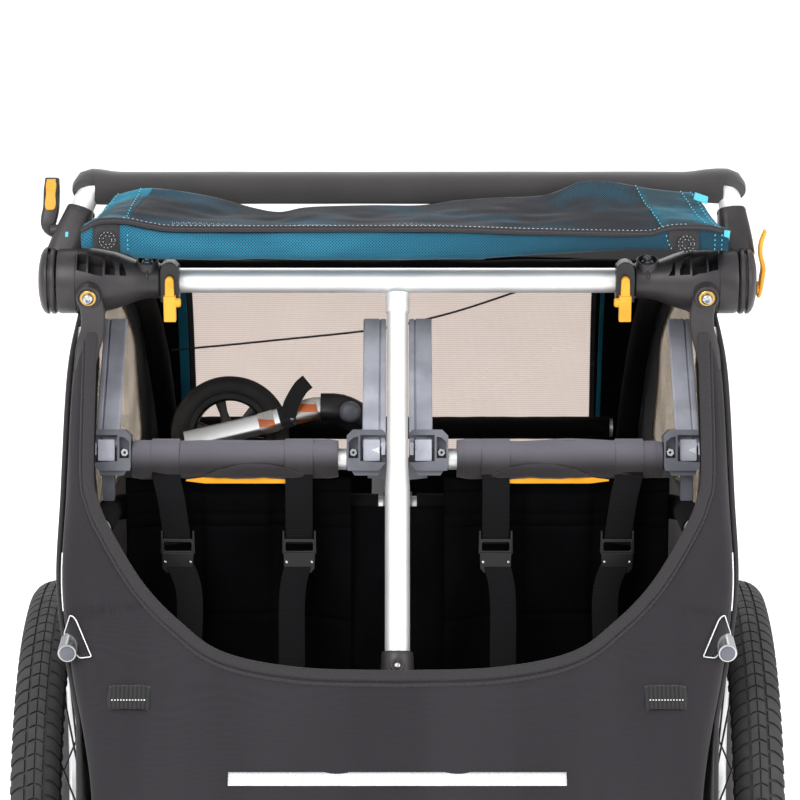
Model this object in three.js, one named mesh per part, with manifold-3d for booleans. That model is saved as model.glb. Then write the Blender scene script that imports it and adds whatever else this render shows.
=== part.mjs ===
// A two-seat child bicycle trailer with its front cover rolled up, in millimetres.
// The front faces -Y and +Z is up, so +X is the trailer's own left-hand side.
// The ground is Z = 0 and the trailer is centred on X = 0.
import * as THREE from 'three';
import { mergeVertices } from 'three/addons/utils/BufferGeometryUtils.js';
import Module from 'manifold-3d';

const wasm = await Module();
wasm.setup();

// ---------------------------------------------------------------- driving dimensions

const SIDES = { right: -1, left: 1 };
const GAP = 0.4;

const WHEEL_RADIUS = 250;
const TYRE_WIDTH = 50;
const WHEEL_X = 365;
const AXLE = { y: 22, z: WHEEL_RADIUS };

const CROSSBAR = { y: 22, z: 845, radius: 12.7, halfLength: 241 };
const GRIP_BAR = { y: 72, z: 930, radius: 17 };
const ARM_X = { low: 350, high: 331 };
const ARM_RADIUS = 12;
const HANDLEBAR_BEND = 18;

const FRAME_TUBE = 12;
const BASE_TUBE = 12.5;
const BASE = { x: 270, z: 262, front: -405, rear: 418, bend: 60 };
const LAP_BAR = { y: -170, z: 477, radius: 11, halfLength: 279 };
const REAR_BAR = { y: 407, z: 560, radius: 11, halfLength: 250 };
const GUARD_RAIL = { x: 328, z: 518, radius: 9.5, front: -185, rear: 330 };

const SEAT_TUBE = { y: 5, z: 606, radius: 11 };
const SEAT_RAIL_LOW = { y: -50, z: 651.6 };
const SEAT_RAIL_HIGH = { y: 130, z: 773.5 };
const SEAT_RAIL = { outer: 298, inner: 24, width: 18, depth: 24 };
const CLAMP = { outer: 293, inner: 32, y: -16, width: 40, height: 42, depth: 36 };
CLAMP.z = THREE.MathUtils.mapLinear(
  CLAMP.y, SEAT_RAIL_LOW.y, SEAT_RAIL_HIGH.y, SEAT_RAIL_LOW.z, SEAT_RAIL_HIGH.z,
);

// Each seat hangs from a bar through the lower half of its two clamps.
const SEAT_BAR = { y: CLAMP.y, z: CLAMP.z - 10, radius: 11 };
const SLEEVE = { inner: 66, outer: 268, radius: 19 };
const SEAT_BACK = { inner: 56, outer: 268, thickness: 14, top: { y: -16, z: 638 }, foot: { y: -62, z: 344 } };

const FABRIC = 3;
const PANEL_X = { top: 317.5, low: 289 };
const FLOOR_Z = 138;

// Side view of the front cover, from under the crossbar down to the nose, as [y, z].
const FRONT_LINE = [[0, 830], [-84, 670], [-172, 512], [-312, 395], [-418, 290], [-456, 215], [-440, 160]];

// Half width of the front cover against height, as [x, z].
const FRONT_HALF_WIDTH = [
  [318, 822], [330, 760], [335, 650], [338, 565], [325, 495], [298, 409], [288, 300], [280, 200], [270, 150],
];
// The rim of the cover's opening, from its middle up to the top of one side, as [x, z].
const OPENING_RIM = [
  [0, 499.5], [98, 502], [174, 514], [218, 539], [256, 573], [289, 621], [302, 648], [307.5, 680], [303, 880],
];

// Behind this line the body narrows evenly towards its rear.
const TAPER = { from: 140, slope: 0.12 };

const narrowed = (x, y) => x - TAPER.slope * Math.max(0, y - TAPER.from);

// ---------------------------------------------------------------- materials

const paint = (color, roughness, metalness = 0) => (
  new THREE.MeshStandardMaterial({ color, roughness, metalness })
);
const ALUMINIUM = paint(0xc9cbcd, 0.35, 0.9);
const BLACK_PLASTIC = paint(0x1f1f20, 0.5);
const GREY_PLASTIC = paint(0x5b5f68, 0.55);
const YELLOW_PLASTIC = paint(0xf2a81d, 0.45);
const FOAM = paint(0x2c2a2b, 0.9);
const RUBBER = paint(0x1c1d1e, 0.85);
const STEEL = paint(0xb0b2b4, 0.3, 1.0);
const CHARCOAL_FABRIC = paint(0x433f43, 0.9);
const BLACK_FABRIC = paint(0x1b1b1d, 0.95);
const BEIGE_FABRIC = paint(0xcfc4bb, 0.85);
const TEAL_FABRIC = paint(0x1b7f9d, 0.85);

// ---------------------------------------------------------------- solids and placing

const X_AXIS = new THREE.Vector3(1, 0, 0);
const Y_AXIS = new THREE.Vector3(0, 1, 0);
const Z_AXIS = new THREE.Vector3(0, 0, 1);
const vec = (x, y, z) => new THREE.Vector3(x, y, z);

// Drawing planes: a shape's x and y become the first two axes, and its depth the third.
const DRAWN_IN_YZ = new THREE.Matrix4().makeBasis(Y_AXIS, Z_AXIS, X_AXIS);
const DRAWN_IN_XZ = new THREE.Matrix4().makeBasis(X_AXIS, Z_AXIS, Y_AXIS.clone().negate());

// Turns any closed geometry into a solid with its faces pointing out.
function solid(geometry) {
  const bare = geometry.clone();
  bare.deleteAttribute('normal');
  bare.deleteAttribute('uv');
  const merged = mergeVertices(bare, 1e-3);
  const points = merged.attributes.position.array;
  const faces = Array.from(merged.index.array);
  const kept = [];
  for (let i = 0; i < faces.length; i += 3) {
    const [a, b, c] = faces.slice(i, i + 3);
    if (a !== b && b !== c && c !== a) kept.push(a, b, c);
  }
  if (signedVolume(points, kept) < 0) kept.reverse();
  return new wasm.Manifold(new wasm.Mesh({
    numProp: 3,
    vertProperties: new Float32Array(points),
    triVerts: new Uint32Array(kept),
  }));
}

function signedVolume(points, faces) {
  const corner = (index) => new THREE.Vector3().fromArray(points, 3 * index);
  let total = 0;
  for (let i = 0; i < faces.length; i += 3) {
    total += corner(faces[i]).dot(corner(faces[i + 1]).cross(corner(faces[i + 2])));
  }
  return total / 6;
}

function toGeometry(body) {
  const mesh = body.getMesh();
  const geometry = new THREE.BufferGeometry();
  geometry.setAttribute('position', new THREE.BufferAttribute(new Float32Array(mesh.vertProperties), 3));
  geometry.setIndex(new THREE.BufferAttribute(new Uint32Array(mesh.triVerts), 1));
  geometry.computeVertexNormals();
  return geometry;
}

const joined = (first, ...others) => others.reduce((sum, next) => sum.add(next), first);
const cut = (first, ...tools) => tools.reduce((rest, tool) => rest.subtract(tool), first);

function prism(shape, start, end, plane) {
  const depth = end - start;
  const geometry = new THREE.ExtrudeGeometry(shape, { depth, bevelEnabled: false, curveSegments: 10 });
  geometry.translate(0, 0, start);
  geometry.applyMatrix4(plane);
  return solid(geometry);
}

// A prism drawn in the XZ plane from y = start to y = end.
const prismAlongY = (shape, start, end) => prism(shape, -end, -start, DRAWN_IN_XZ);
const prismAlongX = (shape, start, end) => prism(shape, start, end, DRAWN_IN_YZ);

function block(width, depth, height, x, y, z) {
  const geometry = new THREE.BoxGeometry(width, depth, height);
  geometry.translate(x, y, z);
  return solid(geometry);
}

// A round bar, or a taper, between two points.
function bar(from, to, radius, endRadius = radius, sides = 16) {
  const way = to.clone().sub(from);
  const geometry = new THREE.CylinderGeometry(endRadius, radius, way.length(), sides);
  geometry.applyQuaternion(new THREE.Quaternion().setFromUnitVectors(Y_AXIS, way.clone().normalize()));
  const middle = from.clone().add(to).multiplyScalar(0.5);
  geometry.translate(middle.x, middle.y, middle.z);
  return solid(geometry);
}

function ball(centre, radius) {
  const geometry = new THREE.SphereGeometry(radius, 20, 12);
  geometry.translate(centre.x, centre.y, centre.z);
  return solid(geometry);
}

// A solid turned about the X axis through (y, z). The profile is [distance along X, radius].
function turned(profile, side, y, z, segments = 22) {
  const points = profile.map(([along, radius]) => new THREE.Vector2(radius, along));
  const geometry = new THREE.LatheGeometry(points, segments);
  geometry.rotateZ(-side * Math.PI / 2);
  geometry.translate(0, y, z);
  return solid(geometry);
}

// A curve whose even steps are its own stations, so that straight runs need no steps in between.
class StationPath extends THREE.Curve {
  constructor(stations) {
    super();
    this.stations = stations;
  }

  station(share) {
    return Math.round(share * (this.stations.length - 1));
  }

  getPointAt(share) {
    return this.stations[this.station(share)].clone();
  }

  getTangentAt(share, target = new THREE.Vector3()) {
    const index = this.station(share);
    const here = this.stations[index];
    const before = this.stations[index - 1];
    const after = this.stations[index + 1];
    target.set(0, 0, 0);
    if (before) target.add(here.clone().sub(before).normalize());
    if (after) target.add(after.clone().sub(here).normalize());
    return target.normalize();
  }
}

// A path of straight runs with its corners rounded off.
function roundedPath(points, bend, bendSteps = 4) {
  const stations = [points[0]];
  for (let i = 1; i < points.length - 1; i += 1) {
    const before = points[i - 1].clone().sub(points[i]);
    const after = points[i + 1].clone().sub(points[i]);
    const entry = points[i].clone().addScaledVector(before.normalize(), bend);
    const exit = points[i].clone().addScaledVector(after.normalize(), bend);
    stations.push(...new THREE.QuadraticBezierCurve3(entry, points[i], exit).getPoints(bendSteps));
  }
  stations.push(points[points.length - 1]);
  return new StationPath(stations);
}

function tubeAlong(path, radius, steps = path.stations.length - 1, sides = 10) {
  const ring = Array.from({ length: sides }, (_, i) => {
    const angle = 2 * Math.PI * i / sides;
    return new THREE.Vector2(radius * Math.cos(angle), radius * Math.sin(angle));
  });
  const geometry = new THREE.ExtrudeGeometry(new THREE.Shape(ring), {
    steps,
    extrudePath: path,
    bevelEnabled: false,
  });
  return solid(geometry);
}

// A strip of even thickness beside a line. A positive thickness lies to the right of the line's run.
function ribbon(line, thickness) {
  const offset = line.map((point, i) => {
    const before = line[Math.max(i - 1, 0)];
    const after = line[Math.min(i + 1, line.length - 1)];
    const run = after.clone().sub(before).normalize();
    return new THREE.Vector2(point.x + run.y * thickness, point.y - run.x * thickness);
  });
  return new THREE.Shape([...line, ...offset.reverse()]);
}

const toPoints = (pairs) => pairs.map(([a, b]) => new THREE.Vector2(a, b));
const smoothLine = (pairs, count) => new THREE.SplineCurve(toPoints(pairs)).getPoints(count);

const trailer = new THREE.Group();
trailer.name = 'child_bicycle_trailer';

function add(name, body, material, parent = trailer) {
  const mesh = new THREE.Mesh(toGeometry(body), material);
  mesh.name = name;
  parent.add(mesh);
  return mesh;
}

// ---------------------------------------------------------------- frame

function baseFrame() {
  const { x, z, front, rear, bend } = BASE;
  const rearX = narrowed(x, rear);
  const loop = roundedPath([
    vec(0.5, rear, z), vec(rearX, rear, z), vec(x, TAPER.from, z), vec(x, front, z),
    vec(-x, front, z), vec(-x, TAPER.from, z), vec(-rearX, rear, z), vec(-0.5, rear, z),
  ], bend);
  add('base_frame', tubeAlong(loop, BASE_TUBE), ALUMINIUM);
}

// The left-hand cage tubes' centre lines, from the top down to the base.
const UPRIGHT_LINE = [
  [316, 4, 799], [320, -65, 663], [318, -105, 584], [301, -142, 516],
  [290, -186, 440], [277, -235, 345], [271, -262, 282],
];
const HOOP_LINE = [
  [300, 58, 833], [300, 160, 817], [300, 290, 750], [299, 368, 640],
  [292, 392, 500], [277, 362, 340], [271, 345, 281],
];

function cageTubes(label, side) {
  const onSide = ([x, y, z]) => vec(side * narrowed(x, y), y, z);
  const upright = new THREE.CatmullRomCurve3(UPRIGHT_LINE.map(onSide));
  add(`upright_${label}`, tubeAlong(upright, FRAME_TUBE, 15), ALUMINIUM);
  const hoop = new THREE.CatmullRomCurve3(HOOP_LINE.map(onSide));
  add(`rear_hoop_${label}`, tubeAlong(hoop, FRAME_TUBE, 16), ALUMINIUM);
  const { x, z, radius, front, rear } = GUARD_RAIL;
  add(`guard_rail_${label}`, bar(vec(side * x, front, z), vec(side * x, rear, z), radius), ALUMINIUM);
}

function crossTubes() {
  const { y, z, radius, halfLength } = LAP_BAR;
  add('lap_crossbar', bar(vec(-halfLength, y, z), vec(halfLength, y, z), radius), ALUMINIUM);
  const [rearRight, rearLeft] = [-1, 1].map((side) => vec(side * REAR_BAR.halfLength, REAR_BAR.y, REAR_BAR.z));
  add('rear_crossbar', bar(rearRight, rearLeft, REAR_BAR.radius), ALUMINIUM);
  add('front_crossbar', bar(
    vec(-CROSSBAR.halfLength, CROSSBAR.y, CROSSBAR.z),
    vec(CROSSBAR.halfLength, CROSSBAR.y, CROSSBAR.z),
    CROSSBAR.radius,
  ), ALUMINIUM);
}

// The post leans back from the lap crossbar to the front crossbar, and its lower part is swaged wider.
const POST_FOOT = vec(0, LAP_BAR.y, LAP_BAR.z);
const POST_HEAD = vec(0, CROSSBAR.y, CROSSBAR.z);
const POST_LENGTH = POST_HEAD.distanceTo(POST_FOOT);
const POST_UP = POST_HEAD.clone().sub(POST_FOOT).normalize();
const POST_FRONT = vec(0, -POST_UP.z, POST_UP.y);
const POST_TOP_RADIUS = 10.8;
const POST_LOW_RADIUS = 12.6;
const onPost = (along, forward = 0) => POST_FOOT.clone()
  .addScaledVector(POST_UP, along)
  .addScaledVector(POST_FRONT, forward);

function centrePost() {
  const start = LAP_BAR.radius + 2;
  const taper = POST_LENGTH * 0.48;
  const buttonAt = 19;
  const tube = joined(
    bar(onPost(start), onPost(taper), POST_LOW_RADIUS),
    bar(onPost(taper), onPost(taper + 26), POST_LOW_RADIUS, POST_TOP_RADIUS),
    bar(onPost(taper + 26), onPost(POST_LENGTH - CROSSBAR.radius - GAP), POST_TOP_RADIUS),
  );
  const buttonHole = bar(onPost(buttonAt, POST_LOW_RADIUS - 6), onPost(buttonAt, POST_LOW_RADIUS + 5), 4);
  add('centre_post', cut(tube, buttonHole), ALUMINIUM);

  const foot = cut(
    joined(
      bar(onPost(0), onPost(34), 16.5, 15.5),
      bar(vec(-21.5, LAP_BAR.y, LAP_BAR.z), vec(21.5, LAP_BAR.y, LAP_BAR.z), 15.5),
      block(44, 14, 13, 0, LAP_BAR.y - 4, LAP_BAR.z + 13),
    ),
    bar(vec(-30, LAP_BAR.y, LAP_BAR.z), vec(30, LAP_BAR.y, LAP_BAR.z), LAP_BAR.radius + GAP),
    bar(onPost(0), onPost(40), POST_LOW_RADIUS + GAP),
    bar(onPost(buttonAt, 10), onPost(buttonAt, 30), 4),
  );
  add('post_foot', foot, BLACK_PLASTIC);
  const buttonEnds = [POST_LOW_RADIUS - 2, POST_LOW_RADIUS + 6.5].map((forward) => onPost(buttonAt, forward));
  const button = bar(...buttonEnds, 3.5, 3, 12);
  add('post_button', button, STEEL);
}

// ---------------------------------------------------------------- crossbar ends and handlebar

const ELBOW_FACE = 346.5;
const HUB_RADIUS = 34;

function elbow(label, side) {
  const { y, z } = CROSSBAR;
  const barrel = turned([
    [242, 0], [242, 18], [256, 18.5], [272, 23], [290, 29.5], [306, 33], [318, HUB_RADIUS],
    [ELBOW_FACE, HUB_RADIUS], [ELBOW_FACE, 0],
  ], side, y, z);
  const boltBoss = bar(vec(side * 312, -16, 826), vec(side * 312, 20, 832), 11);
  const screwBoss = bar(vec(side * 255, y, z), vec(side * 255, y - 6, z + 24), 9);
  const collar = bar(vec(side * 222, y, z), vec(side * 243, y, z), 17.5);
  const latchBlock = block(19, 15, 26, side * 231.5, y + 1, z + 13);
  const crossbarRoom = bar(vec(side * 210, y, z), vec(side * 241.5, y, z), CROSSBAR.radius + GAP);
  const casting = cut(joined(barrel, boltBoss, screwBoss, collar, latchBlock), crossbarRoom);
  add(`elbow_${label}`, casting, BLACK_PLASTIC);

  const lever = joined(
    block(11, 8, 24, side * 231.5, y - 23, z + 2),
    block(13.4, 10, 29, side * 231.5, y - 23.5, z - 22.5),
    block(4, 6, 9, side * 223.5, y - 23, z - 16),
  );
  add(`latch_lever_${label}`, lever, YELLOW_PLASTIC);
}

const armLow = (side) => vec(side * ARM_X.low, CROSSBAR.y, CROSSBAR.z);
const armHigh = (side) => vec(side * ARM_X.high, GRIP_BAR.y, GRIP_BAR.z);
const onArm = (side, share) => armLow(side).lerp(armHigh(side), share);
const SOCKET = { start: 0.25, tubeStart: 0.42, end: 0.76 };

function knuckle(label, side) {
  const { y, z } = CROSSBAR;
  const dome = turned([
    [348, 0], [348, 34.5], [355, 34.5], [361, 31.5], [365, 25], [366.5, 14], [366.5, 0],
  ], side, y, z);
  const socket = bar(onArm(side, SOCKET.start), onArm(side, SOCKET.end), 19, 15);
  const neck = bar(vec(side * 351, y + 6, z + 8), onArm(side, 0.5), 15, 15.5);
  const elbowRoom = turned([
    [240, 0], [240, HUB_RADIUS + GAP], [347.8, HUB_RADIUS + GAP], [347.8, 0],
  ], side, y, z);
  const bore = bar(onArm(side, SOCKET.tubeStart), onArm(side, 1), ARM_RADIUS + 2 * GAP);
  add(`handlebar_knuckle_${label}`, cut(joined(dome, socket, neck), elbowRoom, bore), BLACK_PLASTIC);
}

function handlebar() {
  const bow = (start) => {
    const corners = [onArm(-1, start), armHigh(-1), armHigh(1), onArm(1, start)];
    return roundedPath(corners, HANDLEBAR_BEND);
  };
  add('handlebar_tube', tubeAlong(bow(SOCKET.tubeStart + 0.02), ARM_RADIUS, undefined, 12), ALUMINIUM);
  const sleeve = joined(
    bar(armHigh(-1), armHigh(1), GRIP_BAR.radius, GRIP_BAR.radius, 20),
    ball(armHigh(-1), GRIP_BAR.radius),
    ball(armHigh(1), GRIP_BAR.radius),
  );
  add('handlebar_grip', cut(sleeve, tubeAlong(bow(0.5), ARM_RADIUS + 0.6, undefined, 12)), FOAM);
}

function handlebarLevers() {
  const { y, z } = CROSSBAR;
  const blade = smoothLine([
    [371.5, z - 17], [373, z - 4], [374.5, z + 12], [371.5, z + 28], [373.5, z + 44], [377, z + 52],
  ], 10);
  const halfWidth = 8;
  add('adjust_lever', prismAlongY(ribbon(blade, -4), y - halfWidth, y + halfWidth), YELLOW_PLASTIC);

  const base = onArm(-1, 0.64).add(vec(-24.5, -2, 0));
  const tip = onArm(-1, 1.14).add(vec(-31.5, -6, 0));
  const brakeLever = bar(base, tip, 7, 8.5, 10);
  add('brake_lever', brakeLever, BLACK_PLASTIC);
}

// ---------------------------------------------------------------- seats

const RAIL_RUN = new THREE.Vector2(
  SEAT_RAIL_HIGH.y - SEAT_RAIL_LOW.y,
  SEAT_RAIL_HIGH.z - SEAT_RAIL_LOW.z,
).normalize();

// A beam that follows the seat rails, drawn from its side.
function railBeam(xLow, xHigh, depth) {
  const half = new THREE.Vector2(-RAIL_RUN.y, RAIL_RUN.x).multiplyScalar(depth / 2);
  const low = new THREE.Vector2(SEAT_RAIL_LOW.y, SEAT_RAIL_LOW.z);
  const high = new THREE.Vector2(SEAT_RAIL_HIGH.y, SEAT_RAIL_HIGH.z);
  return prismAlongX(new THREE.Shape([
    low.clone().sub(half), high.clone().sub(half), high.clone().add(half), low.clone().add(half),
  ]), xLow, xHigh);
}

// Legs stand on the seat tube and reach up inside the clamps' open undersides.
const RAIL_LEG = { width: 13, foot: SEAT_TUBE.z + SEAT_TUBE.radius + 2 * GAP, bridge: 655, top: 676 };

function railLeg(x, y, depth, foot) {
  return block(RAIL_LEG.width, depth, RAIL_LEG.top - foot, x, y, (RAIL_LEG.top + foot) / 2);
}

function seatRails() {
  const half = SEAT_RAIL.width / 2;
  const beamAt = (x) => railBeam(x - half, x + half, SEAT_RAIL.depth);
  for (const [label, side] of Object.entries(SIDES)) {
    const beam = beamAt(side * SEAT_RAIL.outer);
    const leg = railLeg(side * SEAT_RAIL.outer, -14, 18, RAIL_LEG.foot + 1);
    add(`seat_rail_${label}`, joined(beam, leg), GREY_PLASTIC);
  }
  const pair = [-1, 1].map((side) => beamAt(side * SEAT_RAIL.inner));
  const legY = SEAT_TUBE.y + 6;
  const legs = [-1, 1].map((side) => railLeg(side * SEAT_RAIL.inner, legY, 14, RAIL_LEG.bridge - 16));
  const bridge = block(2 * SEAT_RAIL.inner + RAIL_LEG.width, 14, 18, 0, legY, RAIL_LEG.bridge - 9);
  const stem = block(24, 14, RAIL_LEG.bridge - RAIL_LEG.foot, 0, legY, (RAIL_LEG.bridge + RAIL_LEG.foot) / 2);
  const saddle = cut(
    block(30, 30, 26, 0, SEAT_TUBE.y + 2, SEAT_TUBE.z + 8),
    bar(vec(-20, SEAT_TUBE.y, SEAT_TUBE.z), vec(20, SEAT_TUBE.y, SEAT_TUBE.z), SEAT_TUBE.radius + GAP),
  );
  add('seat_rail_centre', joined(...pair, ...legs, bridge, stem, saddle), GREY_PLASTIC);

  const { y, z, radius } = SEAT_TUBE;
  const path = roundedPath([
    vec(-302, -76, z + 4), vec(-298, y, z), vec(298, y, z), vec(302, -76, z + 4),
  ], 26);
  add('seat_tube', tubeAlong(path, radius), ALUMINIUM);
}

// A clamp that hooks over a seat rail and slides along it, with a window beside the rail.
function seatClamp(name, centre, railX, windowX) {
  const { width, height, depth } = CLAMP;
  const slotTop = SEAT_RAIL.depth / 2 + GAP;
  const shell = new THREE.Shape();
  shell.moveTo(-depth / 2, -height / 2);
  shell.lineTo(depth / 2 - 4, -height / 2);
  shell.lineTo(depth / 2, -height / 2 + 4);
  shell.lineTo(depth / 2, height / 2);
  shell.lineTo(-depth / 2 + 9, height / 2);
  shell.lineTo(-depth / 2, height / 2 - 9);
  shell.closePath();
  const body = cut(
    prismAlongX(shell, centre - width / 2, centre + width / 2),
    block(SEAT_RAIL.width + 2 * GAP, 100, slotTop + height, railX, 0, (slotTop - height) / 2),
    block(8, 12, 22, windowX, -depth / 2, 0),
  );
  const mesh = add(name, body, GREY_PLASTIC);
  mesh.position.set(0, CLAMP.y, CLAMP.z);
  mesh.rotation.x = Math.atan2(RAIL_RUN.y, RAIL_RUN.x);
}

function seat(label, side) {
  const outerFace = side * (CLAMP.outer - CLAMP.width / 2 - GAP);
  const innerFace = side * (CLAMP.inner + CLAMP.width / 2 + GAP);
  seatClamp(`seat_clamp_${label}_outer`, side * CLAMP.outer, side * SEAT_RAIL.outer, side * 281);
  seatClamp(`seat_clamp_${label}_inner`, side * CLAMP.inner, side * SEAT_RAIL.inner, side * 44);
  const { y, z, radius } = SEAT_BAR;
  add(`seat_bar_${label}`, bar(vec(outerFace, y, z), vec(innerFace, y, z), radius), ALUMINIUM);

  const bore = radius + GAP;
  const sleeve = turned([
    [SLEEVE.inner, bore], [SLEEVE.inner, SLEEVE.radius], [SLEEVE.outer, SLEEVE.radius],
    [SLEEVE.outer, bore], [SLEEVE.inner, bore],
  ], side, y, z, 18);
  add(`seat_sleeve_${label}`, sleeve, BLACK_FABRIC);

  const { inner, outer, thickness, top, foot } = SEAT_BACK;
  const half = thickness / 2;
  const back = new THREE.Shape(toPoints([
    [top.y - half, top.z], [top.y + half, top.z], [foot.y + half, foot.z], [foot.y - half, foot.z],
  ]));
  const [low, high] = side > 0 ? [inner, outer] : [-outer, -inner];
  add(`seat_back_${label}`, prismAlongX(back, low, high), BLACK_FABRIC);
}

function seatBench() {
  const outline = new THREE.Shape(toPoints([[-300, 330], [-294, 322], [-76, 314], [-76, 330], [-290, 340]]));
  add('seat_bench', prismAlongX(outline, -254, 254), BLACK_FABRIC);
}

// ---------------------------------------------------------------- fabric body

const frontLine = smoothLine(FRONT_LINE, 26);

function apron() {
  const strip = prismAlongX(ribbon(frontLine, -FABRIC), -345, 345);
  const edge = smoothLine(FRONT_HALF_WIDTH, 18).filter((point) => point.y < 806);
  const mirrored = edge.map((point) => new THREE.Vector2(-point.x, point.y)).reverse();
  const outline = prismAlongY(new THREE.Shape([
    new THREE.Vector2(318, 806), ...edge, ...mirrored, new THREE.Vector2(-318, 806),
  ]), -480, 60);

  const rim = smoothLine(OPENING_RIM, 16);
  const otherRim = rim.slice(1).map((point) => new THREE.Vector2(-point.x, point.y)).reverse();
  const opening = prismAlongY(new THREE.Shape([...otherRim, ...rim]), -480, 80);
  const railHoles = Object.values(SIDES).map((side) => bar(
    vec(side * GUARD_RAIL.x, -260, GUARD_RAIL.z),
    vec(side * GUARD_RAIL.x, 0, GUARD_RAIL.z),
    12,
  ));
  add('apron', cut(strip.intersect(outline), opening, ...railHoles), CHARCOAL_FABRIC);
}

function sidePanel(label, side) {
  const bend = toPoints([[side * PANEL_X.top, 860], [side * PANEL_X.top, 500], [side * PANEL_X.low, 120]]);
  const strip = prismAlongY(ribbon(bend, -side * -2.5), -480, 470);
  const behindFront = (point) => new THREE.Vector2(point.x + 9, point.y);
  const besideNose = frontLine.filter((point) => point.y < 490).map(behindFront);
  const outline = new THREE.Shape([
    ...toPoints([
      [66, 842], [60, 812], [27, 805], [20, 795], [-43, 657], [-85, 578], [-121, 513], [-160, 498],
    ]),
    ...besideNose,
    ...toPoints([
      [-412, 150], [-380, 143], [370, 143], [418, 168], [434, 240], [438, 330], [432, 480],
      [409, 600], [380, 712], [330, 786], [250, 822], [150, 842],
    ]),
  ]);
  const receiverHole = bar(vec(side * 250, AXLE.y, AXLE.z), vec(side * 350, AXLE.y, AXLE.z), 22);
  const panel = cut(strip.intersect(prismAlongX(outline, -400, 400)), receiverHole);
  const rearHalf = block(900, 500, 1000, 0, TAPER.from + 250, 500);
  const rear = toGeometry(panel.intersect(rearHalf));
  rear.translate(0, -TAPER.from, 0);
  rear.applyMatrix4(new THREE.Matrix4().makeShear(0, 0, -side * TAPER.slope, 0, 0, 0));
  rear.translate(0, TAPER.from, 0);
  add(`side_panel_${label}`, joined(cut(panel, rearHalf), solid(rear)), CHARCOAL_FABRIC);
}

// The space between the side panels, seen from above.
function betweenPanels(halfWidth) {
  const rear = 460;
  const outline = new THREE.Shape(toPoints([
    [-halfWidth, -470], [halfWidth, -470], [halfWidth, TAPER.from], [narrowed(halfWidth, rear), rear],
    [-narrowed(halfWidth, rear), rear], [-halfWidth, TAPER.from],
  ]));
  return prism(outline, 50, 900, new THREE.Matrix4());
}

function rearAndRoof() {
  const rearLine = smoothLine([[449, 336], [444, 480], [420, 602], [390, 716], [340, 792]], 12);
  const room = betweenPanels(283);
  add('rear_panel', prismAlongX(ribbon(rearLine, -2.5), -300, 300).intersect(room), BEIGE_FABRIC);
  const roofLine = smoothLine([[334, 799], [250, 829], [150, 849], [62, 857]], 8);
  add('roof', prismAlongX(ribbon(roofLine, -2.5), -300, 300).intersect(room), CHARCOAL_FABRIC);
  const floorLine = smoothLine([
    [-434, 150], [-395, FLOOR_Z + 2], [-350, FLOOR_Z], [0, FLOOR_Z], [350, FLOOR_Z],
    [422, FLOOR_Z + 22], [453, 240], [456, 332],
  ], 26);
  add('floor_tub', prismAlongX(ribbon(floorLine, -4), -300, 300).intersect(room), BLACK_FABRIC);
}

function coverRoll() {
  const outline = new THREE.Shape();
  outline.moveTo(-24, 890);
  outline.quadraticCurveTo(-22, 872, -2, 873);
  outline.quadraticCurveTo(20, 876, 30, 894);
  outline.quadraticCurveTo(40, 914, 44, 934);
  outline.quadraticCurveTo(38, 941, 30, 934);
  outline.quadraticCurveTo(14, 912, -8, 906);
  outline.quadraticCurveTo(-22, 902, -24, 890);
  add('cover_roll', prismAlongX(outline, -312, 312), TEAL_FABRIC);
}

// ---------------------------------------------------------------- wheels

function wheel(label, side) {
  const group = new THREE.Group();
  group.position.set(side * WHEEL_X, AXLE.y, AXLE.z);
  trailer.add(group);

  const half = TYRE_WIDTH / 2;
  const tyreProfile = [
    [-10, 206.5], [-17, 212], [-half, 228], [-22, 241], [-11, WHEEL_RADIUS - 1.2], [0, WHEEL_RADIUS],
    [11, WHEEL_RADIUS - 1.2], [22, 241], [half, 228], [17, 212], [10, 206.5], [-10, 206.5],
  ];
  add(`tyre_${label}`, turned(tyreProfile, side, 0, 0, 44), RUBBER, group);
  const rimProfile = [[-10, 206], [-9, 200], [-5, 195], [5, 195], [9, 200], [10, 206], [-10, 206]];
  add(`rim_${label}`, turned(rimProfile, side, 0, 0, 44), ALUMINIUM, group);

  const hubShell = turned([
    [-31, 6.4], [-31, 14], [-27, 22], [-23, 22], [-20, 13], [14, 13], [17, 22],
    [21, 22], [24, 14], [24, 6.4], [-31, 6.4],
  ], side, 0, 0, 16);
  const spokeCount = 20;
  const spokes = Array.from({ length: spokeCount }, (_, i) => {
    const angle = 2 * Math.PI * i / spokeCount;
    const lean = (i % 4 < 2 ? 1 : -1) * 0.75;
    const flange = side * (i % 2 ? 19 : -25);
    return bar(
      vec(flange, 19 * Math.cos(angle + lean), 19 * Math.sin(angle + lean)),
      vec(0, 194.2 * Math.cos(angle), 194.2 * Math.sin(angle)),
      1.4,
      1.4,
      4,
    );
  });
  add(`hub_and_spokes_${label}`, joined(hubShell, ...spokes), BLACK_PLASTIC, group);

  const axle = turned([
    [329, 0], [329, 6], [390, 6], [390, 11], [394, 11], [396, 8], [396, 0],
  ], side, AXLE.y, AXLE.z, 14);
  add(`axle_${label}`, axle, STEEL);
  const receiver = turned([
    [283.5, 0], [283.5, 19], [318, 19], [328.5, 14], [328.5, 0],
  ], side, AXLE.y, AXLE.z, 16);
  add(`wheel_receiver_${label}`, receiver, BLACK_PLASTIC);
}

// ---------------------------------------------------------------- tow arm and stowed stroller wheel

const TOW = { x: -330, y: -372, z: 112, radius: 13, reach: 520 };

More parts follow.
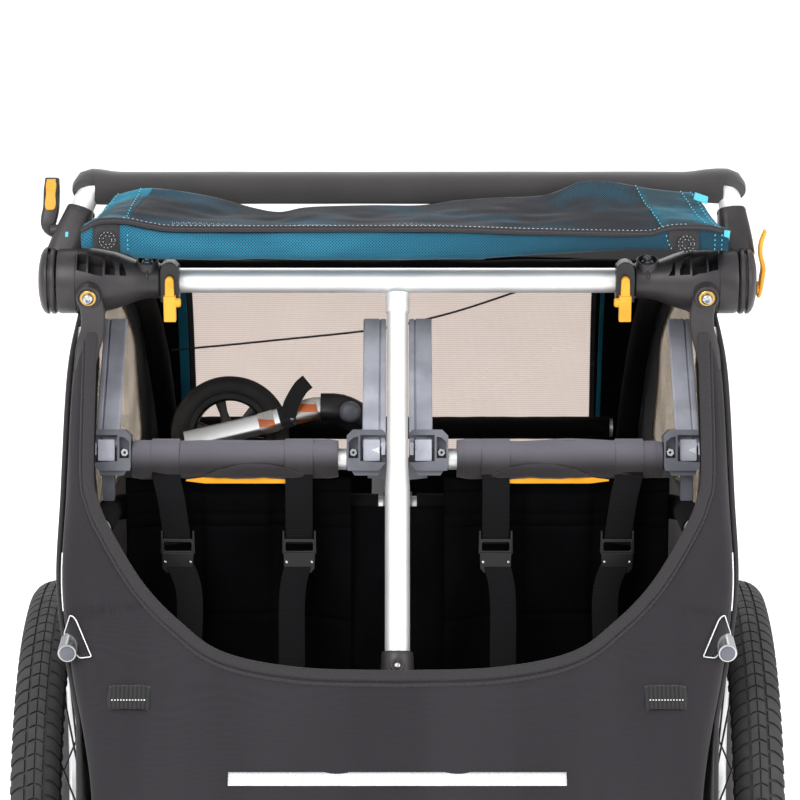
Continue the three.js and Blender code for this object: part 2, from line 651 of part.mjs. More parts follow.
// The bracket hangs outside the right-hand panel, and the arm is folded away under the floor.
function towArm() {
  const { x, y, z, radius, reach } = TOW;
  const eyeHalf = 15;
  const plateTop = z - eyeHalf - GAP;
  const bracket = joined(
    block(27, 54, 40, x + 13.5, y + 5, 240),
    block(40, 9, 170, x + 6, y + 23, 175),
    block(36, 44, 7, x + 2, y + 5, plateTop - 3.5),
    bar(vec(x, y, plateTop - 2), vec(x, y, z + eyeHalf + 4), 6),
  );
  add('tow_bracket', bracket, BLACK_PLASTIC);
  const arm = joined(
    bar(vec(x, y, z - eyeHalf), vec(x, y, z + eyeHalf), radius + 2),
    bar(vec(x + 6, y, z), vec(x + reach, y, z), radius),
  );
  add('tow_arm', cut(arm, bar(vec(x, y, z - 30), vec(x, y, z + 30), 6 + GAP)), ALUMINIUM);
  const hitchStart = x + reach + GAP;
  const hitch = joined(
    bar(vec(hitchStart, y, z), vec(hitchStart + 40, y, z), radius - 1),
    block(44, 26, 24, hitchStart + 60, y, z),
  );
  add('tow_hitch', hitch, STEEL);
}

function stowedWheel() {
  const centre = vec(-186, 238, 607);
  const axis = vec(0, -0.954, 0.3).normalize();
  const profile = [
    [-15, 20], [-15, 46], [-17, 56], [-11, 65], [11, 65], [17, 56], [15, 46], [15, 20], [-15, 20],
  ];
  const ring = turned(profile, 1, 0, 0, 32);
  const hub = bar(vec(-15, 0, 0), vec(20, 0, 0), 21);
  const mesh = add('stowed_wheel', joined(ring, hub), RUBBER);
  mesh.position.copy(centre);
  mesh.quaternion.setFromUnitVectors(X_AXIS, axis);

  const path = new THREE.CatmullRomCurve3([
    vec(-232, 196, 613), vec(-150, 196, 633), vec(-72, 200, 652),
    vec(-24, 232, 610), vec(-20, 262, 470), vec(-20, 280, 146),
  ]);
  add('stowed_wheel_arm', tubeAlong(path, 11.5, 26, 8), ALUMINIUM);
}

// ---------------------------------------------------------------- assembly

baseFrame();
crossTubes();
centrePost();
for (const [label, side] of Object.entries(SIDES)) {
  cageTubes(label, side);
  elbow(label, side);
  knuckle(label, side);
  seat(label, side);
  sidePanel(label, side);
  wheel(label, side);
}
handlebar();
handlebarLevers();
seatRails();
seatBench();
apron();
rearAndRoof();
coverRoll();
towArm();
stowedWheel();

export default trailer;
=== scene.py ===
"""A two-seat child bicycle trailer with its front cover rolled up, seen from above its front.

Sizes and places are in millimetres, and meshes are scaled to metres as they are made.
The front faces -Y, +Z is up, and the origin is on the ground under the trailer's middle.
"""
import math

import bmesh
import bpy
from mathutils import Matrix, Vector, noise


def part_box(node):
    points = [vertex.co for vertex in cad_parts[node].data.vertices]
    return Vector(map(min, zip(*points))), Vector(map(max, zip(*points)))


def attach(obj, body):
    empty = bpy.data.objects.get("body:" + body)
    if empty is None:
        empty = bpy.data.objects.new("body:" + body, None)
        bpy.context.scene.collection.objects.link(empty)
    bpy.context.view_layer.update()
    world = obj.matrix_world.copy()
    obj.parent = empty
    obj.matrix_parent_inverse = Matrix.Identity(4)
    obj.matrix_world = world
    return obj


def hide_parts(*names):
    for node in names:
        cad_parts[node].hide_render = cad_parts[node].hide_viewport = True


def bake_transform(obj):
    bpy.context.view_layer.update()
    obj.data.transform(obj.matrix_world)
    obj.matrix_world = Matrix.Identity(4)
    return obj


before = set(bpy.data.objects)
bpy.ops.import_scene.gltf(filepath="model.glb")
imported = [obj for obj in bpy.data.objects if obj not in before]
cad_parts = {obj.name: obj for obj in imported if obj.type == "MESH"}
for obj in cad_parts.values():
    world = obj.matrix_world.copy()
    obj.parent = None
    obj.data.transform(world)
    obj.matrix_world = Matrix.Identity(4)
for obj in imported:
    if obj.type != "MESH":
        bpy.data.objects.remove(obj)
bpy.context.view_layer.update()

MM = 0.001
SIDES = {"right": -1, "left": 1}


# ---------------------------------------------------------------- places taken from the frame

def box_of(node):
    low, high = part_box(node)
    return low / MM, high / MM


def middle(node):
    low, high = box_of(node)
    return (low + high) / 2


def size(node):
    low, high = box_of(node)
    return high - low


CROSSBAR = middle("front_crossbar")
CROSSBAR_RADIUS = size("front_crossbar").z / 2
LAP_BAR = middle("lap_crossbar")
SEAT_BAR = middle("seat_bar_left")
WHEEL = middle("rim_left")
GRIP_BAR = Vector((0, 72, 930))
ARM_X = {"low": 350, "high": 329}
ARM_RADIUS = 12
HANDLEBAR_BEND = 18
FOAM_RISE, FOAM_MOUTH = Vector((0, 0, 2)), Vector((0, -6, -4))
BOW_LEAN = 12


# ---------------------------------------------------------------- paths and outlines

def catmull_rom(a, b, c, d, t):
    square = 2 * a - 5 * b + 4 * c - d
    cube = 3 * b - a - 3 * c + d
    return 0.5 * (2 * b + (c - a) * t + square * t * t + cube * t ** 3)


def spline(points, count):
    """A smooth run of evenly spaced points through the given ones."""
    knots = [Vector(p) for p in points]
    ends = [2 * knots[0] - knots[1], *knots, 2 * knots[-1] - knots[-2]]
    steps = 24
    fine = [
        catmull_rom(*ends[i:i + 4], step / steps)
        for i in range(len(knots) - 1)
        for step in range(steps)
    ]
    return evenly([*fine, knots[-1]], count)


def lengths_along(path):
    travelled = [0.0]
    for here, there in zip(path, path[1:]):
        travelled.append(travelled[-1] + (there - here).length)
    return travelled


def evenly(path, count):
    travelled = lengths_along(path)
    result, index = [], 0
    for step in range(count):
        target = travelled[-1] * step / (count - 1)
        while index < len(path) - 2 and travelled[index + 1] < target:
            index += 1
        run = travelled[index + 1] - travelled[index]
        share = (target - travelled[index]) / run if run else 0
        result.append(path[index].lerp(path[index + 1], min(share, 1)))
    return result


def rounded(points, bend, steps=8):
    """Straight runs whose corners are rounded off."""
    corners = [Vector(p) for p in points]
    path = [corners[0]]
    for before, corner, after in zip(corners, corners[1:], corners[2:]):
        entry = corner + (before - corner).normalized() * bend
        leave = corner + (after - corner).normalized() * bend
        for i in range(steps + 1):
            t = i / steps
            path.append(entry.lerp(corner, t).lerp(corner.lerp(leave, t), t))
    path.append(corners[-1])
    return path


def interpolate(pairs, value):
    """Reads a table of (place, amount) pairs at a place."""
    for (low, first), (high, second) in zip(pairs, pairs[1:]):
        if value <= high:
            share = max(0.0, (value - low) / (high - low))
            return first + (second - first) * share
    return pairs[-1][1]


def smooth_step(low, high, value):
    t = min(max((value - low) / (high - low), 0.0), 1.0)
    return t * t * (3 - 2 * t)


def circle(radius, count=24):
    turn = [2 * math.pi * i / count for i in range(count)]
    return [(radius * math.cos(a), radius * math.sin(a)) for a in turn]


def rounded_box(width, height, corner, steps=4):
    """The outline of a rectangle with round corners, centred on zero."""
    outline = []
    for quarter in range(4):
        across = (width / 2 - corner) * (1 if quarter in (0, 3) else -1)
        upward = (height / 2 - corner) * (1 if quarter < 2 else -1)
        for i in range(steps + 1):
            angle = math.pi / 2 * (quarter + i / steps)
            outline.append((across + corner * math.cos(angle), upward + corner * math.sin(angle)))
    return outline


def wobble(point, span, amount, offset=0.0):
    """A smooth, repeatable unevenness."""
    return amount * noise.noise(Vector(point) / span + Vector((offset, 0, 0)))


# ---------------------------------------------------------------- shapes

class Shape:
    """Points and faces that share one finish. uv holds each point's place on the flat cloth, in metres."""

    def __init__(self, points, faces, finish, uv=None):
        self.points = points
        self.faces = faces
        self.finish = finish
        self.uv = uv

    def mirrored(self):
        points = [Vector((-p.x, p.y, p.z)) for p in self.points]
        return Shape(points, [tuple(reversed(face)) for face in self.faces], self.finish, self.uv)

    def on_side(self, side):
        return self if side > 0 else self.mirrored()


def on_side(side, shapes):
    return [shape.on_side(side) for shape in shapes]


def grid_faces(rows, columns, close_rows=False, close_columns=False):
    faces = []
    for i in range(rows if close_rows else rows - 1):
        for j in range(columns if close_columns else columns - 1):
            right, below = (j + 1) % columns, (i + 1) % rows
            faces.append((i * columns + j, i * columns + right, below * columns + right, below * columns + j))
    return faces


def path_frames(path, closed=False, up=None):
    """An across and an upward direction at each point of a path.

    up is one direction, or one for each point.
    """
    count = len(path)
    frames, carried = [], None
    for i in range(count):
        before = path[i - 1] if i or closed else path[0]
        after = path[(i + 1) % count] if i < count - 1 or closed else path[-1]
        tangent = (after - before).normalized()
        if up is not None:
            here = up[i] if isinstance(up, list) else up
            across = tangent.cross(Vector(here)).normalized()
        else:
            if carried is None:
                carried = tangent.orthogonal()
            across = (carried - tangent * carried.dot(tangent)).normalized()
            carried = across
        frames.append((across, across.cross(tangent)))
    return frames


def sweep(path, section, finish, closed=False, scale=None, up=None):
    """A section of (across, upward) points carried along a path.

    scale has a factor for each station, and an open path has a cap at each end.
    """
    points, uv = [], []
    travelled = lengths_along(path)
    girth = lengths_along([Vector(p) for p in section])
    for i, (across, upward) in enumerate(path_frames(path, closed, up)):
        grow = scale[i] if scale else 1
        for j, (a, b) in enumerate(section):
            points.append(path[i] + (across * a + upward * b) * grow)
            uv.append((travelled[i] * MM, girth[j] * MM))
    columns = len(section)
    faces = grid_faces(len(path), columns, close_rows=closed, close_columns=True)
    if not closed:
        faces.append(tuple(range(columns)))
        faces.append(tuple(range((len(path) - 1) * columns, len(path) * columns)))
    return Shape(points, faces, finish, uv)


def tube(path, radius, finish, sides=24, **options):
    return sweep([Vector(p) for p in path], circle(radius, sides), finish, **options)


def turned(profile, origin, axis, finish, segments=48, closed=False):
    """A profile of (along, radius) turned about an axis.

    It starts and ends on the axis or closes on itself.
    """
    axis = Vector(axis).normalized()
    across = axis.orthogonal().normalized()
    upward = axis.cross(across)
    points = []
    for along, radius in profile:
        for i in range(segments):
            angle = 2 * math.pi * i / segments
            spoke = across * math.cos(angle) + upward * math.sin(angle)
            points.append(Vector(origin) + axis * along + spoke * radius)
    faces = grid_faces(len(profile), segments, close_rows=closed, close_columns=True)
    return Shape(points, faces, finish)


def plane(origin, right, up):
    """Maps (right, up, out) measures to places. Out is the cross product of right and up."""
    origin, right, up = Vector(origin), Vector(right).normalized(), Vector(up).normalized()
    out = right.cross(up)
    return lambda a, b, c=0: origin + right * a + up * b + out * c


def facing(place):
    """The outward direction of a plane."""
    return place(0, 0, 1) - place(0, 0)


def plate(outline, low, high, place, finish):
    """An outline given depth from low to high."""
    points = [place(a, b, low) for a, b in outline] + [place(a, b, high) for a, b in outline]
    count = len(outline)
    faces = grid_faces(2, count, close_columns=True)
    faces += [tuple(range(count)), tuple(range(count, 2 * count))]
    return Shape(points, faces, finish)


def open_plate(outer, inner, low, high, place, finish):
    """A plate with a window. Both outlines have the same number of points."""
    rings = [(outer, low), (outer, high), (inner, high), (inner, low)]
    points = [place(a, b, depth) for outline, depth in rings for a, b in outline]
    return Shape(points, grid_faces(4, len(outer), close_rows=True, close_columns=True), finish)


def surface(rule, rows, columns, finish, flat=(1000, 1000)):
    """A sheet whose points are rule(u, v), with u down the rows and v along the columns."""
    shares = [(i / (rows - 1), j / (columns - 1)) for i in range(rows) for j in range(columns)]
    uv = [(u * flat[0] * MM, v * flat[1] * MM) for u, v in shares]
    return Shape([Vector(rule(u, v)) for u, v in shares], grid_faces(rows, columns), finish, uv)


def stitches(path, finish, length=3.2, gap=1.6, radius=0.45):
    """A row of thread stitches lying on a path."""
    path = [Vector(p) for p in path]
    total = lengths_along(path)[-1]
    count = max(2, int(total / (length + gap)))
    line = evenly(path, 2 * count)
    points, faces = [], []
    for start, end in zip(line[::2], line[1::2]):
        across = (end - start).orthogonal().normalized() * radius
        upward = across.cross((end - start).normalized())
        base = len(points)
        points += [start, end]
        points += [start.lerp(end, 0.5) + spoke for spoke in (across, upward, -across, -upward)]
        for i in range(4):
            here, there = base + 2 + i, base + 2 + (i + 1) % 4
            faces += [(base, here, there), (base + 1, there, here)]
    return Shape(points, faces, finish)


def piping(path, radius, finish):
    return tube(path, radius, finish, sides=10)


# ---------------------------------------------------------------- pieces

def mesh_of(name, shapes, outward):
    mesh = bpy.data.meshes.new(name)
    bm = bmesh.new()
    uv_layer = bm.loops.layers.uv.new("cloth")
    finishes = []
    for shape in shapes:
        if shape.finish not in finishes:
            finishes.append(shape.finish)
        vertices = [bm.verts.new(Vector(p) * MM) for p in shape.points]
        made = []
        for corners in shape.faces:
            face = bm.faces.new([vertices[i] for i in corners])
            face.material_index = finishes.index(shape.finish)
            face.smooth = True
            for loop, corner in zip(face.loops, corners):
                place = shape.points[corner] * MM
                loop[uv_layer].uv = shape.uv[corner] if shape.uv else (place.x, place.z)
            made.append(face)
        bmesh.ops.remove_doubles(bm, verts=vertices, dist=1e-7)
        if outward:
            bmesh.ops.recalc_face_normals(bm, faces=[face for face in made if face.is_valid])
    bm.to_mesh(mesh)
    bm.free()
    for finish in finishes:
        mesh.materials.append(finish)
    return mesh


def piece(name, shapes, body="frame", nodes=(), bevel=0, thickness=0, sharp=38, outward=True):
    """Makes one object from shapes. thickness makes a sheet solid, on the side away from its normals."""
    mesh = mesh_of(name, shapes, outward)
    mesh.set_sharp_from_angle(angle=math.radians(sharp))
    made = bpy.data.objects.new(name, mesh)
    bpy.context.scene.collection.objects.link(made)
    if thickness:
        solid = made.modifiers.new("thickness", "SOLIDIFY")
        solid.thickness = thickness * MM
        solid.offset = -1
    if bevel:
        round_edges(made, bevel)
    if body:
        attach(made, body)
    if nodes:
        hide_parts(*nodes)
    return made


def round_edges(made, width):
    edge = made.modifiers.new("round_edges", "BEVEL")
    edge.width = width * MM
    edge.segments = 2
    edge.limit_method = "ANGLE"
    edge.angle_limit = math.radians(38)
    edge.harden_normals = True


def carve(made, cutters):
    """Cuts shapes out of a piece for good."""
    tool = bpy.data.objects.new("cutter", mesh_of("cutter", cutters, True))
    bpy.context.scene.collection.objects.link(tool)
    cut = made.modifiers.new("cut", "BOOLEAN")
    cut.object = tool
    cut.solver = "EXACT"
    cut.use_self = True
    made.modifiers.move(len(made.modifiers) - 1, 0)
    others = [m for m in made.modifiers if m != cut]
    for modifier in others:
        modifier.show_viewport = False
    bpy.context.view_layer.update()
    evaluated = made.evaluated_get(bpy.context.evaluated_depsgraph_get())
    mesh = bpy.data.meshes.new_from_object(evaluated)
    made.modifiers.remove(cut)
    for modifier in others:
        modifier.show_viewport = True
    made.data = mesh
    mesh.set_sharp_from_angle(angle=math.radians(38))
    bpy.data.objects.remove(tool)
    return made


# ---------------------------------------------------------------- finishes

def colour(code):
    """A linear colour from its usual hexadecimal code."""
    parts = [int(code[i:i + 2], 16) / 255 for i in (0, 2, 4)]
    return (*[c / 12.92 if c <= 0.04045 else ((c + 0.055) / 1.055) ** 2.4 for c in parts], 1)


class Finish:
    """A material and short words for the nodes that give it colour and relief."""

    def __init__(self, name, roughness=0.5, metallic=0.0, space="Object", **sockets):
        self.material = bpy.data.materials.new(name)
        self.material.use_nodes = True
        self.nodes = self.material.node_tree.nodes
        self.links = self.material.node_tree.links
        self.shader = self.nodes["Principled BSDF"]
        self.shader.inputs["Roughness"].default_value = roughness
        self.shader.inputs["Metallic"].default_value = metallic
        for socket, value in sockets.items():
            self.shader.inputs[socket.replace("_", " ")].default_value = value
        self.place = self.nodes.new("ShaderNodeTexCoord").outputs[space]
        self.bump = None

    def feed(self, socket, value):
        if isinstance(value, bpy.types.NodeSocket):
            self.links.new(value, socket)
        else:
            socket.default_value = value

    def mapped(self, stretch=(1, 1, 1), turn=0.0):
        node = self.nodes.new("ShaderNodeMapping")
        node.inputs["Scale"].default_value = stretch
        node.inputs["Rotation"].default_value = (0, 0, math.radians(turn))
        self.links.new(self.place, node.inputs["Vector"])
        return node.outputs["Vector"]

    def grain(self, span, detail=3.0, roughness=0.5, stretch=(1, 1, 1)):
        """Noise whose patches are about span millimetres across."""
        node = self.nodes.new("ShaderNodeTexNoise")
        node.inputs["Scale"].default_value = 1 / (span * MM)
        node.inputs["Detail"].default_value = detail
        node.inputs["Roughness"].default_value = roughness
        self.links.new(self.mapped(stretch), node.inputs["Vector"])
        return node.outputs["Fac"]

    def bands(self, period, direction="X", turn=0.0, distortion=0.0):
        """Even stripes, period millimetres apart."""
        node = self.nodes.new("ShaderNodeTexWave")
        node.bands_direction = direction
        node.inputs["Scale"].default_value = math.pi / 10 / (period * MM)
        node.inputs["Distortion"].default_value = distortion
        self.links.new(self.mapped(turn=turn), node.inputs["Vector"])
        return node.outputs["Fac"]

    def height(self):
        """How high a point stands, in metres."""
        node = self.nodes.new("ShaderNodeSeparateXYZ")
        self.links.new(self.nodes.new("ShaderNodeTexCoord").outputs["Object"], node.inputs["Vector"])
        return node.outputs["Z"]

    def cells(self, span, kind="F1"):
        node = self.nodes.new("ShaderNodeTexVoronoi")
        node.feature = kind
        node.inputs["Scale"].default_value = 1 / (span * MM)
        self.links.new(self.mapped(), node.inputs["Vector"])
        return node.outputs["Distance"]

    def math(self, operation, first, second=0.0):
        node = self.nodes.new("ShaderNodeMath")
        node.operation = operation
        self.feed(node.inputs[0], first)
        self.feed(node.inputs[1], second)
        return node.outputs[0]

    def ramp(self, value, low, high, start=0.0, end=1.0):
        """Rises smoothly from start to end as value goes from low to high."""
        node = self.nodes.new("ShaderNodeMapRange")
        node.interpolation_type = "SMOOTHSTEP"
        for socket, amount in zip(list(node.inputs)[:5], (value, low, high, start, end)):
            self.feed(socket, amount)
        return node.outputs["Result"]

    def mix(self, share, first, second):
        node = self.nodes.new("ShaderNodeMix")
        node.data_type = "RGBA"
        self.feed(node.inputs["Factor"], share)
        for socket, value in ((node.inputs[6], first), (node.inputs[7], second)):
            self.feed(socket, colour(value) if isinstance(value, str) else value)
        return node.outputs[2]

    def paint(self, share, first, second):
        """The base colour, from one colour to another."""
        self.links.new(self.mix(share, first, second), self.shader.inputs["Base Color"])
        return self

    def coloured(self, output):
        self.links.new(output, self.shader.inputs["Base Color"])
        return self

    def polish(self, share, low, high):
        """The roughness, from low to high."""
        self.links.new(self.ramp(share, 0, 1, low, high), self.shader.inputs["Roughness"])
        return self

    def relief(self, height, depth):
        """Bump of the given depth in millimetres, on top of any bump before it."""
        node = self.nodes.new("ShaderNodeBump")
        node.inputs["Strength"].default_value = 1
        node.inputs["Distance"].default_value = depth * MM
        self.links.new(height, node.inputs["Height"])
        if self.bump:
            self.links.new(self.bump, node.inputs["Normal"])
        self.bump = node.outputs["Normal"]
        self.links.new(self.bump, self.shader.inputs["Normal"])
        return self


def woven(name, dark, light, thread=0.9, roughness=0.8, sheen=0.25, patch=60, shine=0.25, painted_top_light=None):
    """Plain-woven cloth, with slow changes of shade over its surface.

    painted_top_light is (low, high, code): a painted highlight; the cloth turns to that paler colour between
    two heights, in metres.
    """
    finish = Finish(name, roughness, space="UV", Sheen_Weight=sheen, Sheen_Roughness=0.5,
                    Specular_IOR_Level=shine)
    warp, weft = finish.bands(thread, "X"), finish.bands(thread, "Y")
    threads = finish.math("MAXIMUM", warp, finish.math("SUBTRACT", 1.0, weft))
    worn = finish.ramp(finish.grain(patch, detail=5), 0.3, 0.7)
    shade = finish.math("ADD", finish.math("MULTIPLY", worn, 0.75), finish.math("MULTIPLY", threads, 0.25))
    cloth = finish.mix(shade, dark, light)
    # Painted highlight: the cloth is paler above a height, where the light falls on its top.
    if painted_top_light:
        low, high, code = painted_top_light
        cloth = finish.mix(finish.ramp(finish.height(), low, high), cloth, code)
    finish.coloured(cloth).relief(threads, 0.12).relief(finish.grain(9, 2), 0.35)
    return finish.material


def open_mesh(name, hole, thread, light, period=2.1, roughness=0.6, streak=0.35, painted_shade_span=None):
    """Knitted mesh: crossing threads over the dark of its holes, with paler streaks.

    painted_shade_span is where along the cloth, in metres, its colour darkens into painted shade.
    """
    finish = Finish(name, roughness, space="UV", Sheen_Weight=0.06, Specular_IOR_Level=0.2)
    crossing = finish.math("MULTIPLY", finish.bands(period, "X", 45), finish.bands(period, "Y", 45))
    threads = finish.ramp(crossing, 0.05, 0.55, 1.0, 0.0)
    patches = finish.ramp(finish.grain(34, 4, stretch=(0.35, 1, 1)), 0.42, 0.68, 0.0, streak)
    body = finish.mix(patches, thread, light)
    if painted_shade_span:
        split = finish.nodes.new("ShaderNodeSeparateXYZ")
        finish.links.new(finish.place, split.inputs["Vector"])
        # Painted shade: the colour sinks towards the hole colour along the cloth's X.
        body = finish.mix(finish.ramp(split.outputs["X"], *painted_shade_span, 0, 0.85), body, hole)
    finish.coloured(finish.mix(threads, hole, body)).relief(threads, 0.35)
    return finish.material


def webbing_finish(name, dark, light, rib=1.7, sheen=0.2, shine=0.3):
    finish = Finish(name, 0.75, space="UV", Sheen_Weight=sheen, Specular_IOR_Level=shine)
    ribs = finish.bands(rib, "X")
    twill = finish.math("MULTIPLY", finish.bands(2.4, "Y", 24), 0.5)
    height = finish.math("ADD", ribs, twill)
    finish.paint(finish.ramp(height, 0.2, 1.4), dark, light).relief(height, 0.22)
    return finish.material


def moulded(name, dark, light, roughness=0.45, grain=0.7, depth=0.05):
    """Moulded plastic with a fine spark-eroded grain, a little shinier where it has been rubbed."""
    finish = Finish(name, roughness, Specular_IOR_Level=0.4)
    fine, slow = finish.grain(grain, 2), finish.grain(38, 4)
    finish.paint(finish.ramp(slow, 0.3, 0.7), dark, light)
    finish.polish(slow, roughness - 0.08, roughness + 0.12).relief(fine, depth)
    return finish.material


def drawn_metal(name, dark, light, roughness, along, metallic=1.0):
    """Drawn or brushed metal with fine lines along one axis."""
    finish = Finish(name, roughness, metallic)
    stretch = tuple(0.02 if axis == along else 1 for axis in "xyz")
    lines = finish.grain(0.5, 3, 0.6, stretch)
    cloud = finish.grain(55, 4)
    finish.paint(finish.ramp(cloud, 0.25, 0.75), dark, light)
    finish.polish(lines, roughness - 0.06, roughness + 0.1).relief(lines, 0.012)
    return finish.material


def foam():
    finish = Finish("foam", 0.78, Sheen_Weight=0.3, Sheen_Roughness=0.6, Specular_IOR_Level=0.3)
    pores = finish.cells(1.1)
    finish.paint(finish.grain(45, 5), "2a2829", "3a3738")
    finish.relief(pores, 0.12).relief(finish.grain(14, 3), 0.5)
    return finish.material


def tyre_rubber():
    finish = Finish("tyre_rubber", 0.72)
    finish.paint(finish.grain(25, 5, 0.6), "292828", "424041")
    finish.polish(finish.grain(12, 4), 0.6, 0.85).relief(finish.grain(1.2, 2), 0.06)
    return finish.material


def ribbed_window():
    """The pale sun-screen cloth of the rear window, with fine upright ribs. Its glow is painted light for the
    studio light shining through it from behind.
    """
    # Painted light: the emission stands in for light coming through the screen from behind.
    finish = Finish("ribbed_screen", 0.85, space="UV", Transmission_Weight=0.55, IOR=1.03,
                    Emission_Color=colour("dccfca"), Emission_Strength=0.34)
    ribs, weft = finish.bands(2.6, "Y"), finish.bands(1.3, "X")
    height = finish.math("ADD", ribs, finish.math("MULTIPLY", weft, 0.4))
    shade = finish.mix(finish.grain(70, 3), "c3b8b0", "d9d0c9")
    finish.coloured(finish.mix(finish.ramp(height, 0.1, 0.9), "a99e97", shade)).relief(height, 0.2)
    return finish.material


def clear_vinyl(name, tint):
    roughness = 0.12
    finish = Finish(name, roughness, Transmission_Weight=0.75, IOR=1.35)
    ripple = finish.grain(60, 3)
    finish.paint(ripple, tint, "e6dccf").polish(ripple, roughness, roughness + 0.1).relief(ripple, 1.2)
    return finish.material


def reflective():
    finish = Finish("reflective_tape", 0.28, metallic=0.35, Coat_Weight=0.4)
    beads = finish.cells(1.4)
    finish.paint(finish.ramp(beads, 0.1, 0.6), "c9cbcc", "f1f2f2").relief(beads, 0.04)
    return finish.material


def banded_tape():
    """Silver tape with orange stripes."""
    finish = Finish("banded_tape", 0.35, Coat_Weight=0.3)
    stripes = finish.ramp(finish.bands(17, "Z", 0), 0.55, 0.62)
    beads = finish.ramp(finish.cells(1.3), 0.1, 0.6)
    finish.coloured(finish.mix(stripes, finish.mix(beads, "b9b4ae", "dcd8d3"), "e2702a")).relief(beads, 0.04)
    return finish.material


def thread(name, dark, light):
    finish = Finish(name, 0.55, Sheen_Weight=0.3)
    twist = finish.grain(0.8, 1)
    finish.paint(twist, dark, light).relief(twist, 0.08)
    return finish.material


APRON_CLOTH = woven("apron_cloth", "1f1c21", "29262b", thread=0.85, roughness=0.72, patch=90)
# Black cloth, its colour made darker still as painted shade for the inside of the cabin.
BLACK_CLOTH = woven("black_cloth", "070708", "0e0e10", thread=1.1, roughness=0.85, sheen=0.03, shine=0.1)
# Its painted_top_light is a painted highlight on the tops of the seat sleeves.
SEAT_CLOTH = woven("seat_cloth", "1f1c1e", "2e2b2d", thread=1.3, sheen=0.2, painted_top_light=(0.66, 0.69, "726f79"))
# Dark rear cloth, its colour made darker still as painted shade for the inside of the cabin.
NAVY_CLOTH = woven("navy_cloth", "05070a", "0a0e13", thread=1.0, roughness=0.8, sheen=0.02, shine=0.1)
TEAL_CLOTH = woven("teal_cloth", "126680", "1f86a3", thread=1.0, roughness=0.7)
BINDING = webbing_finish("binding_tape", "252325", "3c393c", rib=1.1)
WEBBING = webbing_finish("webbing", "19191a", "303032")
# Its painted_shade_span darkens the roll towards +X as painted shade.
TEAL_MESH = open_mesh("teal_mesh", "0b3040", "23718e", "3b94b2", painted_shade_span=(-0.06, 0.24))
BLACK_NET = open_mesh("black_net", "141417", "3f3d40", "5a5456", period=1.8, roughness=0.5, streak=0.5)
MESH_OVER_TEAL = open_mesh("mesh_over_teal", "123a48", "35474f", "2a9dbc", period=1.7, roughness=0.5,
                           streak=1.0)
# A darker copy of the seat cloth: painted shade for the seat backs and the centre cloth inside the cabin.
SEAT_CLOTH_SHADED = woven("seat_back_cloth", "040405", "08080a", thread=1.3, roughness=0.9, sheen=0, shine=0.04)
YELLOW_CLOTH = woven("yellow_trim", "e8950f", "f6b02a", thread=0.8, roughness=0.7)
# Its pale blue streak colour is partly painted sheen and partly the teal cloth beneath showing through.
BLACK_MESH = open_mesh("black_mesh", "0e0f12", "34353a", "245a70", period=1.7, roughness=0.5, streak=0.6)
DARK_NET = open_mesh("dark_net", "0c0c0d", "3a3735", "4a4744", period=2.6, streak=0.2)
RIBBED_SCREEN = ribbed_window()
SIDE_VINYL = clear_vinyl("side_window_vinyl", "cdbfae")
REFLECTIVE = reflective()
THREAD_BLUE = thread("turquoise_thread", "35aecb", "5fd3e8")
THREAD_PALE = thread("pale_thread", "a9c3d2", "dfeaf2")
THREAD_DARK = thread("dark_thread", "1c1c1d", "38383a")
BANDED_TAPE = banded_tape()
# A darker copy of the webbing: painted shade for the harness straps inside the cabin.
HARNESS_WEBBING_SHADED = webbing_finish("harness_webbing", "0d0c0e", "19181a", sheen=0.02, shine=0.08)
FOAM = foam()
RUBBER = tyre_rubber()
BLACK_PLASTIC = moulded("black_plastic", "2b292b", "3a3739", 0.36)
BUCKLE_PLASTIC = moulded("buckle_plastic", "0b0b0c", "141415", 0.32)
SATIN_BLACK = moulded("satin_black_plastic", "1c1b1d", "2a282b", 0.28, grain=0.5, depth=0.03)
SPOKE_BLACK = moulded("spoke_black", "141415", "222223", 0.35, grain=2, depth=0.01)
RAIL_PLATE = moulded("light_grey_plastic", "a0a2ad", "bcbeca", 0.4)
GREY_PLASTIC = moulded("grey_plastic", "585a62", "6c6e77", 0.42)
YELLOW_PLASTIC = moulded("yellow_plastic", "e6961e", "f3ae38", 0.42, depth=0.03)
ALUMINIUM = drawn_metal("drawn_aluminium", "eff0f0", "fbfbfb", 0.45, "x", metallic=0.7)
ALUMINIUM_POST = drawn_metal("drawn_aluminium_upright", "eff0f0", "fbfbfb", 0.45, "z", metallic=0.7)
ALUMINIUM_BOW = drawn_metal("handlebar_aluminium", "eff1f3", "fcfdfd", 0.5, "z", metallic=0.25)
STEEL = drawn_metal("plated_steel", "a9abad", "cfd1d3", 0.24, "z")
BRASS = drawn_metal("brass", "b98f3e", "dcb869", 0.3, "x")
RIM_METAL = drawn_metal("polished_rim", "b8babd", "d5d7d9", 0.22, "z")


# ---------------------------------------------------------------- cage and base

POST_FOOT = Vector((0, LAP_BAR.y, LAP_BAR.z))
POST_HEAD = Vector((0, CROSSBAR.y, CROSSBAR.z))
POST_LENGTH = (POST_HEAD - POST_FOOT).length
POST_UP = (POST_HEAD - POST_FOOT).normalized()
POST_FRONT = Vector((0, -POST_UP.z, POST_UP.y))
BUTTON_AT = 19
TAPER_FROM, TAPER_SLOPE = 140, 0.12


def narrowed(x, y):
    """The body narrows evenly behind TAPER_FROM."""
    return x - TAPER_SLOPE * max(0, y - TAPER_FROM)


def on_post(along, forward=0):
    return POST_FOOT + POST_UP * along + POST_FRONT * forward


def hex_screw(place, radius, head):
    """A button-head screw with a hexagon socket. place maps across, up and out."""
    origin, out = place(0, 0), facing(place)
    socket = radius * 0.45
    profile = [
        (-2, 0), (-2, radius), (head * 0.35, radius), (head * 0.8, radius * 0.82), (head, radius * 0.6),
        (head, socket), (head * 0.3, socket * 0.95), (head * 0.3, 0),
    ]
    return turned(profile, origin, out, STEEL, segments=24)


